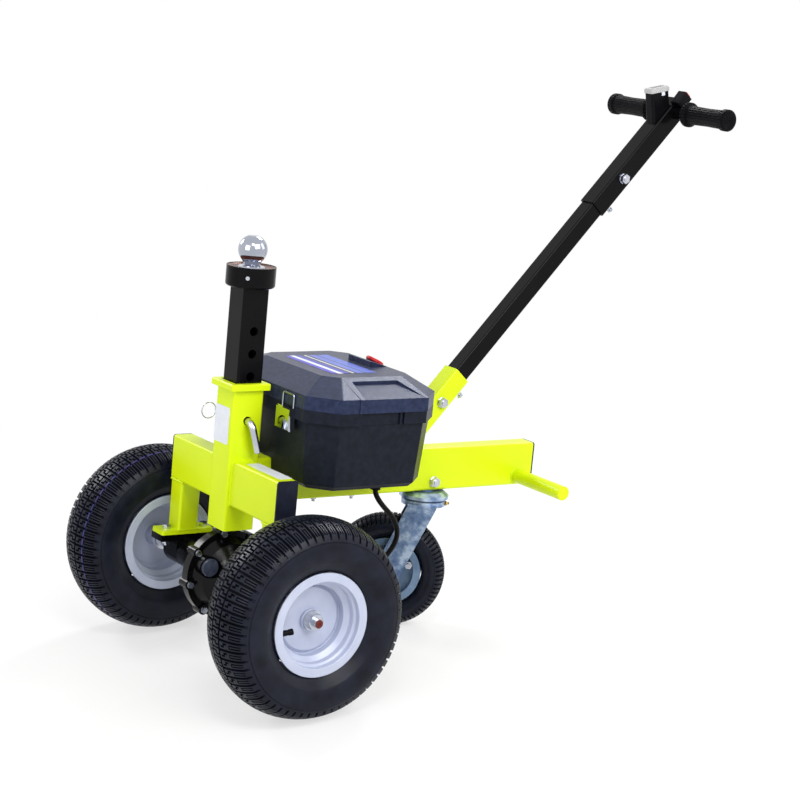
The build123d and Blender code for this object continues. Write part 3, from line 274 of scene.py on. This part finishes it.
# Dark blue to near white: the zinc's mottle, with its pale end partly painted highlight
zinc_and_highlight_stops = [(0.34, linear(84, 106, 144)), (0.48, linear(120, 144, 180)), (0.62, linear(186, 204, 226))]
finishes["zinc"] = galvanised("zinc", 38, zinc_and_highlight_stops)
bar_x, bar_z = on_handle(bar_station)
finishes["grip_rubber"] = fluted("grip_rubber", at(bar_x, 0, bar_z), 22.0)

nodes_by_finish = {
    "lime_paint": ["hitch_post", "post_collar", "left_cross_arm", "right_cross_arm", "left_leg", "right_leg",
                   "left_foot_plate", "right_foot_plate", "main_beam", "foot_bar", "handle_socket"],
    "black_paint": ["ball_tube", "ball_cup", "handle_tube", "handle_sleeve", "handlebar"],
    "tub_plastic": ["battery_tub"],
    "lid_plastic": ["battery_lid"],
    "black_plastic": ["switch_box", "gauge_housing", "isolator_base", "batteries", "cable_glands"],
    "cap_plastic": ["end_caps"],
    "plug_plastic": ["filler_plug"],
    "silver_plastic": ["gauge_cap"],
    "rubber": ["left_tyre", "right_tyre", "caster_tyre"],
    "grip_rubber": ["left_grip", "right_grip"],
    "silver_paint": ["left_rim", "right_rim"],
    "green_zinc": ["caster_rim"],
    "chrome": ["tow_ball", "latches"],
    "plated": ["hitch_pin", "pin_clip", "left_axle", "right_axle", "caster_axle", "hinge_pins",
               "frame_bolts", "box_bolts", "set_screw", "rim_bolts", "gear_bolts"],
    "zinc": ["caster_mount", "caster_fork"],
    "bronze": ["ball_ring"],
    "cast_black": ["gear_case", "drive_motor", "left_axle_tube", "right_axle_tube"],
    "red_plastic": ["isolator_knob", "rocker_switch"],
    "cable_black": ["power_cable"],
}
for finish_name, node_names in nodes_by_finish.items():
    for node_name in node_names:
        node_materials = frame["nodes"][node_name].data.materials
        node_materials.clear()
        node_materials.append(finishes[finish_name].material)
cable_line.materials.append(finishes["cable_black"].material)


# Pieces in mesh
def piece(name, points, faces, looks, body, smooth=False, face_looks=None):
    """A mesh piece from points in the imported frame; looks are names of finishes."""
    mesh = bpy.data.meshes.new(name)
    mesh.from_pydata([tuple(p) for p in points], [], faces)
    for look in looks:
        mesh.materials.append(finishes[look].material)
    if face_looks:
        for polygon, index in zip(mesh.polygons, face_looks):
            polygon.material_index = index
    mesh.polygons.foreach_set("use_smooth", [smooth] * len(mesh.polygons))
    mesh.update()
    thing = bpy.data.objects.new(name, mesh)
    bpy.context.scene.collection.objects.link(thing)
    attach(thing, body)
    return thing


def ring_faces(rings, around, closed_rings=False):
    """Quads between rings of points, each ring around points long."""
    faces = []
    for i in range(rings if closed_rings else rings - 1):
        a = i * around
        b = (i + 1) % rings * around
        for j in range(around):
            k = (j + 1) % around
            faces.append((a + j, a + k, b + k, b + j))
    return faces


# Tyres: the profile is followed from bead to bead, with grooves cut into the tread
def arc(a, b, c, steps):
    """Points of the circle through three (radius, width) points, from a to c."""
    d = 2 * (a[0] * (b[1] - c[1]) + b[0] * (c[1] - a[1]) + c[0] * (a[1] - b[1]))
    squares = [p[0] ** 2 + p[1] ** 2 for p in (a, b, c)]
    x = (squares[0] * (b[1] - c[1]) + squares[1] * (c[1] - a[1]) + squares[2] * (a[1] - b[1])) / d
    y = (squares[0] * (c[0] - b[0]) + squares[1] * (a[0] - c[0]) + squares[2] * (b[0] - a[0])) / d
    start = atan2(a[1] - y, a[0] - x)
    middle = atan2(b[1] - y, b[0] - x)
    end = atan2(c[1] - y, c[0] - x)
    while middle - start > pi:
        middle -= 2 * pi
    while middle - start < -pi:
        middle += 2 * pi
    while (end - middle) * (middle - start) < 0 or abs(end - middle) > pi:
        end += 2 * pi if middle > start else -2 * pi
    radius = hypot(a[0] - x, a[1] - y)
    return [(x + radius * cos(t), y + radius * sin(t))
            for t in (start + (end - start) * k / steps for k in range(steps + 1))]


def resample(line, stations):
    """Points on a line at distances from its start, with the outward direction there."""
    lengths = [0.0]
    for p, q in zip(line, line[1:]):
        lengths.append(lengths[-1] + hypot(q[0] - p[0], q[1] - p[1]))
    found = []
    for s in stations:
        i = 0
        while i < len(line) - 2 and lengths[i + 1] < s:
            i += 1
        p, q = line[i], line[i + 1]
        f = (s - lengths[i]) / (lengths[i + 1] - lengths[i])
        run = hypot(q[0] - p[0], q[1] - p[1])
        normal = (-(q[1] - p[1]) / run, (q[0] - p[0]) / run)
        if normal[0] * (p[0] - line[0][0]) + normal[1] * p[1] < 0:
            normal = (-normal[0], -normal[1])
        found.append((p[0] + (q[0] - p[0]) * f, p[1] + (q[1] - p[1]) * f, normal))
    return found, lengths[-1]


# A row of blocks: shares of a block's length, and of the row's width
cross_slot = 0.15
upper_slot = (0.36, 0.51)
lower_slot = (0.64, 0.79)
slot_overlap = (0.4, 0.6)


def s_row(u, v):
    """Whether a slot runs here in a row of blocks: u along the tread, v across it, both from 0 to 1."""
    low, high = slot_overlap
    straight = u < cross_slot
    upper = upper_slot[0] < u < upper_slot[1] and v > low
    lower = lower_slot[0] < u < lower_slot[1] and v < high
    middle = upper_slot[0] < u < lower_slot[1] and low < v < high
    return straight or upper or lower or middle


def other_side(u, t):
    """The place along the tread, where the right half is set half a block on."""
    return (u + (0.5 if t > 0 else 0.0)) % 1.0


# Drive tyre's grooves: millimetres from the tread's middle, depths, and shares of a block's length
drive_middle_row = 8.7
drive_ring_edge = 12.3
drive_ring_depth = 5.0
drive_inner_row = (14.9, 28.5)
drive_outer_row = (33.6, 57.0)
drive_outer_bend = 35.2
drive_tread_edge = 66.3
drive_block_depth = 4.6
drive_taper_start = 56.0
drive_taper = 0.3
drive_cross_groove = 0.2
hairpin_legs = ((0.43, 0.5), (0.71, 0.78))
hairpin_share = 0.8
drive_side_line = (70.2, 71.6)
drive_side_line_depth = 0.9


def drive_cut(u, t):
    """Depth in millimetres of the drive tyre's grooves: t is the distance from the tread's middle."""
    side = abs(t)
    if side < drive_middle_row:
        return drive_ring_depth if s_row(u, (t / drive_middle_row + 1) / 2) else 0.0
    if side < drive_ring_edge:
        return drive_ring_depth
    if side > drive_tread_edge:
        return drive_side_line_depth if drive_side_line[0] < side < drive_side_line[1] else 0.0
    u = other_side(u, t)
    depth = drive_block_depth - max(side - drive_taper_start, 0.0) * drive_taper
    if u < drive_cross_groove:
        return depth
    low, high = drive_inner_row
    if low < side < high:
        return depth if s_row(u, (side - low) / (high - low)) else 0.0
    low, high = drive_outer_row
    hairpin = low < side < high and any(start < u < end for start, end in hairpin_legs)
    bend = low < side < drive_outer_bend and hairpin_legs[0][0] < u < hairpin_legs[1][1]
    return depth * hairpin_share if hairpin or bend else 0.0


# Caster tyre's grooves, in the same units
caster_middle_row = 3.2
caster_ring_edge = 5.2
caster_ring_depth = 3.2
caster_inner_row = 13.5
caster_inner_depth = 3.0
caster_outer_ring = 15.2
caster_outer_ring_depth = 2.6
caster_tread_edge = 34.2
caster_lug_gap = 0.34
caster_lug_depth = 2.4
caster_side_line = (36.4, 37.4)
caster_side_line_depth = 0.6


def caster_cut(u, t):
    """Depth in millimetres of the caster tyre's grooves: t is the distance from the tread's middle."""
    side = abs(t)
    if side < caster_middle_row:
        return caster_ring_depth if u < cross_slot else 0.0
    u = other_side(u, t)
    if side < caster_ring_edge:
        return caster_ring_depth
    if side < caster_inner_row:
        across = (side - caster_ring_edge) / (caster_inner_row - caster_ring_edge)
        return caster_inner_depth if s_row(u, across) else 0.0
    if side < caster_outer_ring:
        return caster_outer_ring_depth
    if side < caster_tread_edge:
        return caster_lug_depth if u < caster_lug_gap else 0.0
    return caster_side_line_depth if caster_side_line[0] < side < caster_side_line[1] else 0.0


arc_steps = 24
groove_floor = 2.0
tread_crease = radians(38)


def tyre(name, node, joint, profile, rows, cut, blocks, samples, body, stripe=None):
    """A tyre whose half profile runs from the bead to the middle of the tread."""
    line = []
    for a, b, c in profile:
        line += arc(a, b, c, arc_steps)[1 if line else 0:]
    length = resample(line, [0.0])[1]
    stations = sorted({length - t for t in rows if t < length} | {0.0})
    section = [(r, w, n, length - s) for (r, w, n), s in zip(resample(line, stations)[0], stations)]
    section += [(r, -w, (n[0], -n[1]), -t) for r, w, n, t in reversed(section) if t > 0.01]
    spot = Vector(joint["pos_m"])
    axis = Vector(joint["axis"]).normalized()
    across = axis.cross(Vector((0.0, 0.0, 1.0))).normalized()
    up = across.cross(axis)
    around = blocks * samples
    spokes = [(cos(2 * pi * j / around), sin(2 * pi * j / around)) for j in range(around)]
    points = []
    depths = []
    for radius, width, normal, t in section:
        cuts = [cut((j + 0.5) / samples, t) for j in range(samples)]
        depths.append(cuts)
        for j, (c, s) in enumerate(spokes):
            r = (radius - cuts[j % samples] * normal[0]) / 1000
            w = (width - cuts[j % samples] * normal[1]) / 1000
            points.append(spot + axis * w + (across * c + up * s) * r)
    faces = ring_faces(len(section), around, closed_rings=True)
    shades = []
    for i in range(len(section)):
        k = (i + 1) % len(section)
        painted = stripe and stripe[0] < (section[i][3] + section[k][3]) / 2 < stripe[1] and k
        for j in range(around):
            corners = (depths[i][j % samples], depths[i][(j + 1) % samples],
                       depths[k][j % samples], depths[k][(j + 1) % samples])
            # Faces deeper than groove_floor take the darker rubber: painted shade in the grooves
            shades.append(2 if painted else 1 if min(corners) > groove_floor else 0)
    looks = ["rubber", "groove_shade_rubber", "violet_line"]
    thing = piece(name, points, faces, looks, body, smooth=True, face_looks=shades)
    thing.data.set_sharp_from_angle(angle=tread_crease)
    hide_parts(node)


# Profiles are arcs through three (radius, width) points. Rows are distances from the tread's middle
# along the profile, with one on each side of every groove's wall.
drive_profile = [((91.0, 46.0), (125.0, 61.95), (157.0, 53.0)),
                 ((157.0, 53.0), (168.3, 27.0), (171.94, 0.0))]
drive_rows = [0, 1.1, 2.3, 5, 8.4, 9.0, 12.0, 12.6, 14.6, 15.2, 18, 20.0, 20.7, 22.7, 23.4, 26, 28.2, 28.8,
              30.2, 31.4, 33.3, 33.9, 34.9, 35.5, 40, 46, 51, 56.7, 57.3, 62, 66.0, 66.6, 69.9, 70.5, 71.3,
              71.9, 76, 82, 88, 94, 99, 103, 105.5, 107]
drive_stripe = (-31.4, -30.2)
caster_profile = [((64.5, 18.0), (84.0, 30.95), (98.0, 25.0)),
                  ((98.0, 25.0), (105.3, 12.6), (107.45, 0.0))]
caster_rows = [0, 2.9, 3.5, 4.9, 5.5, 8.2, 8.9, 9.8, 10.5, 13.2, 13.8, 14.9, 15.5, 19, 23, 27, 31, 33.9,
               34.5, 36.1, 36.7, 37.1, 37.7, 41, 46, 51, 55, 58, 60]
joints = {joint["name"]: joint for joint in frame["joints"]}
for side_name, stripe in (("left", None), ("right", drive_stripe)):
    tyre(side_name + "_tyre_tread", side_name + "_tyre", joints[side_name + "_wheel_spin"], drive_profile,
         drive_rows, drive_cut, 64, 14, side_name + "_wheel", stripe)
tyre("caster_tyre_tread", "caster_tyre", joints["caster_wheel_spin"], caster_profile, caster_rows,
     caster_cut, 72, 12, "caster_wheel")

# Labels: thin blank stickers, in millimetres
sticker_lift = 0.12
sticker_thickness = 0.18
sticker_corner = 0.06


def sticker(name, origin, along, across, size, bands, body):
    """A thin sheet on a face, with bands across it as (start, end, finish) from 0 to 1."""
    along = Vector(along).normalized()
    across = Vector(across).normalized()
    normal = along.cross(across)
    points, faces, order, looks = [], [], [], []
    corner = min(size) * sticker_corner
    for start, end, look in bands:
        if look not in looks:
            looks.append(look)
        x0, x1 = size[0] * start, size[0] * end
        cut0 = corner if start == 0 else 0.0
        cut1 = corner if end == 1 else 0.0
        outline = [(x0 + cut0, 0), (x1 - cut1, 0), (x1, cut1), (x1, size[1] - cut1), (x1 - cut1, size[1]),
                   (x0 + cut0, size[1]), (x0, size[1] - cut0), (x0, cut0)]
        first = len(points)
        for height in (sticker_lift, sticker_lift + sticker_thickness):
            for a, b in outline:
                points.append(at(*(Vector(origin) + along * a + across * b + normal * height)))
        faces.append(tuple(range(first + 8, first + 16)))
        order.append(looks.index(look))
        for k in range(8):
            j = (k + 1) % 8
            faces.append((first + k, first + j, first + 8 + j, first + 8 + k))
            order.append(looks.index(look))
    piece(name, points, faces, looks, body, face_looks=order)


sticker("post_label", (-post_half, 28.0, 407.0), (0, -1, 0), (0, 0, 1), (48.0, 65.0),
        [(0, 1, "label_white")], "chassis")
sticker("arm_label", (15.0, -166.0, frame_top), (0, 1, 0), (-1, 0, 0), (110.0, 26.5),
        [(0, 1, "label_white")], "chassis")
lid_bands = [(0, 0.12, "label_violet"), (0.12, 0.22, "label_white"), (0.22, 0.36, "label_blue"),
             (0.36, 0.42, "label_dark"), (0.42, 0.46, "label_white"), (0.46, 0.52, "label_dark"),
             (0.52, 0.68, "label_pale"), (0.68, 0.71, "label_dark"), (0.71, 0.95, "label_pale"),
             (0.95, 1, "label_dark")]
sticker("lid_label", (133.0, -82.0, lid_top), (1, 0, 0), (0, 1, 0), (97.0, 162.0), lid_bands, "lid")


# Turned details
turned_crease = radians(35)


def turned(name, origin, direction, profile, look, body, around=32):
    """A piece turned about an axis, from a profile of (radius, height) in millimetres."""
    direction = Vector(direction).normalized()
    helper = Vector((0, 0, 1)) if abs(direction.z) < 0.9 else Vector((1, 0, 0))
    across = direction.cross(helper).normalized()
    up = direction.cross(across)
    points = []
    for radius, height in profile:
        for j in range(around):
            a = 2 * pi * j / around
            ray = (across * cos(a) + up * sin(a)) * radius
            points.append(at(*(Vector(origin) + direction * height + ray)))
    faces = ring_faces(len(profile), around)
    faces.append(tuple(range(around)))
    faces.append(tuple(range(len(points) - 1, len(points) - around - 1, -1)))
    thing = piece(name, points, faces, [look], body, smooth=True)
    thing.data.set_sharp_from_angle(angle=turned_crease)


valve_angle = radians(192)
valve_foot = (69, 30)
valve_tip = (49, 36)
valve_profile = [(6.5, 0), (6.5, 2), (5.2, 4), (4.6, 15), (5.4, 15.5), (5.4, 22), (4.4, 23)]
axle_end_out = 42
axle_end_profile = [(7.4, -0.5), (7.4, 0.5), (6.4, 1.2), (2.4, 1.2), (2.0, 0.2)]
for side, name in ((-1, "left"), (1, "right")):
    foot, tip = [Vector((axle_x + radius * cos(valve_angle), side * (wheel_y + out),
                         axle_height + radius * sin(valve_angle)))
                 for radius, out in (valve_foot, valve_tip)]
    turned(name + "_valve", foot, tip - foot, valve_profile, "black_plastic", name + "_wheel")
    turned(name + "_axle_end", (axle_x, side * (wheel_y + axle_end_out), axle_height), (0, side, 0),
           axle_end_profile, "red_brown", name + "_wheel")
nipple_angle = radians(-45)
nipple_reach = crown_radius - 0.2
nipple_rise = 0.15
nipple_profile = [(4.2, 0), (4.2, 3), (3.0, 3.2), (2.0, 5.5), (2.4, 6.2), (2.4, 7.5), (1.2, 8.2)]
nipple_x, nipple_y = cos(nipple_angle), sin(nipple_angle)
turned("grease_nipple", (caster_x + nipple_reach * nipple_x, nipple_reach * nipple_y, crown_middle),
       (nipple_x, nipple_y, nipple_rise), nipple_profile, "brass", "caster")

# Weld beads along the frame's joints, in millimetres
bead_step = 1.3
bead_sides = 8
bead_helper = Vector((0.3, 0.5, 0.81))


def bead(name, corners, radius):
    """A weld: a closed bead with ripples that follows corners in a line."""
    path = []
    for a, b in zip(corners, corners[1:] + corners[:1]):
        a, b = Vector(a), Vector(b)
        steps = max(2, int((b - a).length / bead_step))
        path += [a + (b - a) * k / steps for k in range(steps)]
    points = []
    count = len(path)
    for k, spot in enumerate(path):
        along = (path[(k + 1) % count] - path[(k - 1) % count]).normalized()
        helper = bead_helper if abs(along.dot(bead_helper)) < 0.9 else Vector((1, 0, 0))
        across = along.cross(helper).normalized()
        up = along.cross(across)
        size = radius * (1 + 0.13 * sin(k * 1.9) + 0.07 * sin(k * 0.37))
        for j in range(bead_sides):
            a = 2 * pi * j / bead_sides
            points.append(at(*(spot + (across * cos(a) + up * sin(a)) * size)))
    faces = ring_faces(count, bead_sides, closed_rings=True)
    piece(name, points, faces, ["lime_paint"], "chassis", smooth=True)


def loop(axis, place, u0, u1, v0, v1):
    """Four corners of a rectangle square to an axis."""
    flat = [(u0, v0), (u1, v0), (u1, v1), (u0, v1)]
    if axis == "x":
        return [(place, u, v) for u, v in flat]
    if axis == "y":
        return [(u, place, v) for u, v in flat]
    return [(u, v, place) for u, v in flat]


# The beads' middles lie a little inside the tubes' outlines
arm_edges = (arm_x - tube_half + 0.5, arm_x + tube_half - 0.5)
frame_edges = (frame_bottom + 1, frame_top - 1)
beam_edges = (0.5 - tube_half, tube_half - 0.5)
post_edges = (0.5 - post_half, post_half - 0.5)
leg_reach = tube_half - 0.6
for side, name in ((-1, "left"), (1, "right")):
    leg_edges = (side * leg_y - leg_reach, side * leg_y + leg_reach)
    bead(name + "_arm_weld", loop("y", side * post_half, *arm_edges, *frame_edges), 2.2)
    bead(name + "_leg_weld", loop("z", frame_bottom, *arm_edges, *leg_edges), 1.8)
    bead(name + "_foot_weld", loop("z", foot_top, *arm_edges, *leg_edges), 2.0)
bead("collar_weld", loop("z", post_top, *post_edges, *post_edges), 1.8)
bead("beam_weld", loop("x", post_half, *beam_edges, *frame_edges), 2.2)
socket_half = tube_half / sin(handle_slope)
socket_edges = (handle_foot_x - socket_half, handle_foot_x + socket_half)
bead("socket_weld", loop("z", frame_top, *socket_edges, 1 - tube_half, tube_half - 1), 2.2)
bar_weld_radius = foot_bar_radius + 0.3
bar_weld_points = 24
for side, name in ((-1, "left"), (1, "right")):
    ring = []
    for k in range(bar_weld_points):
        angle = 2 * pi * k / bar_weld_points
        ring.append((foot_bar_x + bar_weld_radius * cos(angle), side * (tube_half + 0.2),
                     foot_bar_height + bar_weld_radius * sin(angle)))
    bead(name + "_bar_weld", ring, 1.8)

# Gauge: a blank window row on its cap and a blank tab below it
gauge_tilt = radians(12)
gauge_lift = 19
gauge_rise = 43.2 + 9.0
gauge_x, gauge_z = on_handle(gauge_station, gauge_lift)
gauge_along = Vector((cos(gauge_tilt), 0, sin(gauge_tilt)))
gauge_up = Vector((-sin(gauge_tilt), 0, cos(gauge_tilt)))
gauge_face = Vector((gauge_x, 0, gauge_z)) + gauge_up * gauge_rise
windows = 5
window_edge = 0.06
window_width = 0.14
window_pitch = 0.18
window_bands = [(0, window_edge, "silver_plastic")]
for k in range(windows):
    start = window_edge + k * window_pitch
    end = start + window_width
    window_bands.append((start, end, "label_dark"))
    window_bands.append((end, start + window_pitch if k < windows - 1 else 1, "silver_plastic"))
window_place = gauge_face - gauge_along * 16 + Vector((0, -5, 0))
sticker("gauge_window", window_place, gauge_along, (0, 1, 0), (32.0, 10.0), window_bands, "chassis")
tab_place = gauge_face - gauge_up * 16.5 + gauge_along * 2 + Vector((0, -11.5, 0))
sticker("gauge_tab", tab_place, gauge_along, gauge_up, (8.0, 7.0), [(0, 1, "label_white")], "chassis")


# Floor, backdrop and light: white to the camera and in reflections, with the object's shadow kept
def seen_by_camera(tree):
    """One for a ray from the camera, a mirror or glass, and nought for light."""
    paths = tree.nodes.new("ShaderNodeLightPath")
    total = paths.outputs["Is Camera Ray"]
    for name in ("Is Glossy Ray", "Is Transmission Ray"):
        add = tree.nodes.new("ShaderNodeMath")
        add.operation = "MAXIMUM"
        tree.links.new(total, add.inputs[0])
        tree.links.new(paths.outputs[name], add.inputs[1])
        total = add.outputs["Value"]
    return total


floor_half = 12.0
floor_grey = 0.9
fade_start = 0.5
fade_end = 1.7
white_share = 0.62


def floor_material():
    """A pale floor that fades to white with distance, and keeps the object's shadow."""
    material = bpy.data.materials.new("stage_floor")
    material.use_nodes = True
    tree = material.node_tree
    shader = tree.nodes["Principled BSDF"]
    shader.inputs["Base Color"].default_value = (floor_grey, floor_grey, floor_grey, 1)
    shader.inputs["Roughness"].default_value = 0.95
    place = tree.nodes.new("ShaderNodeTexCoord")
    length = tree.nodes.new("ShaderNodeVectorMath")
    length.operation = "LENGTH"
    tree.links.new(place.outputs["Object"], length.inputs[0])
    fade = tree.nodes.new("ShaderNodeMapRange")
    fade.interpolation_type = "SMOOTHSTEP"
    fade.inputs["From Min"].default_value = fade_start
    fade.inputs["From Max"].default_value = fade_end
    fade.inputs["To Min"].default_value = white_share
    fade.inputs["To Max"].default_value = 1.0
    tree.links.new(length.outputs["Value"], fade.inputs["Value"])
    share = tree.nodes.new("ShaderNodeMath")
    share.operation = "MULTIPLY"
    tree.links.new(fade.outputs["Result"], share.inputs[0])
    tree.links.new(seen_by_camera(tree), share.inputs[1])
    glow = tree.nodes.new("ShaderNodeEmission")
    mix = tree.nodes.new("ShaderNodeMixShader")
    tree.links.new(share.outputs["Value"], mix.inputs["Fac"])
    tree.links.new(shader.outputs["BSDF"], mix.inputs[1])
    tree.links.new(glow.outputs["Emission"], mix.inputs[2])
    tree.links.new(mix.outputs["Shader"], tree.nodes["Material Output"].inputs["Surface"])
    return material


floor_corners = [(-floor_half, -floor_half, 0), (floor_half, -floor_half, 0), (floor_half, floor_half, 0),
                 (-floor_half, floor_half, 0)]
floor_mesh = bpy.data.meshes.new("floor")
floor_mesh.from_pydata(floor_corners, [], [(0, 1, 2, 3)])
floor = bpy.data.objects.new("floor", floor_mesh)
bpy.context.scene.collection.objects.link(floor)
floor.data.materials.append(floor_material())

# Lamps: name, place, size and power; all of them point at the object's middle
lamp_target = Vector((0, 0, 0.4))
lamps = [
    ("key", (0.2, -3.1, 2.4), (2.4, 2.0), 82),
    ("fill", (-3.2, -0.8, 1.8), (2.0, 2.0), 32),
    ("side", (2.6, -1.6, 1.8), (1.6, 2.2), 14),
    ("back", (2.2, 1.3, 2.9), (1.1, 1.1), 62),
    ("front", (-1.3, -1.9, 3.0), (0.8, 0.8), 26),
    ("far", (-1.3, 2.7, 2.0), (0.9, 0.9), 34),
]
for name, place, size, power in lamps:
    data = bpy.data.lights.new(name, "AREA")
    data.shape = "RECTANGLE"
    data.size, data.size_y = size
    data.energy = power
    lamp = bpy.data.objects.new(name, data)
    lamp.location = place
    lamp.rotation_euler = (lamp_target - Vector(place)).to_track_quat("-Z", "Y").to_euler()
    bpy.context.scene.collection.objects.link(lamp)

world_light = 0.36
world = bpy.data.worlds.new("world")
bpy.context.scene.world = world
world.use_nodes = True
world_tree = world.node_tree
background = world_tree.nodes["Background"]
background.inputs["Color"].default_value = (1, 1, 1, 1)
brightness = world_tree.nodes.new("ShaderNodeMapRange")
brightness.inputs["To Min"].default_value = world_light
brightness.inputs["To Max"].default_value = 1.0
world_tree.links.new(seen_by_camera(world_tree), brightness.inputs["Value"])
world_tree.links.new(brightness.outputs["Result"], background.inputs["Strength"])
bpy.context.scene.view_settings.view_transform = "Standard"
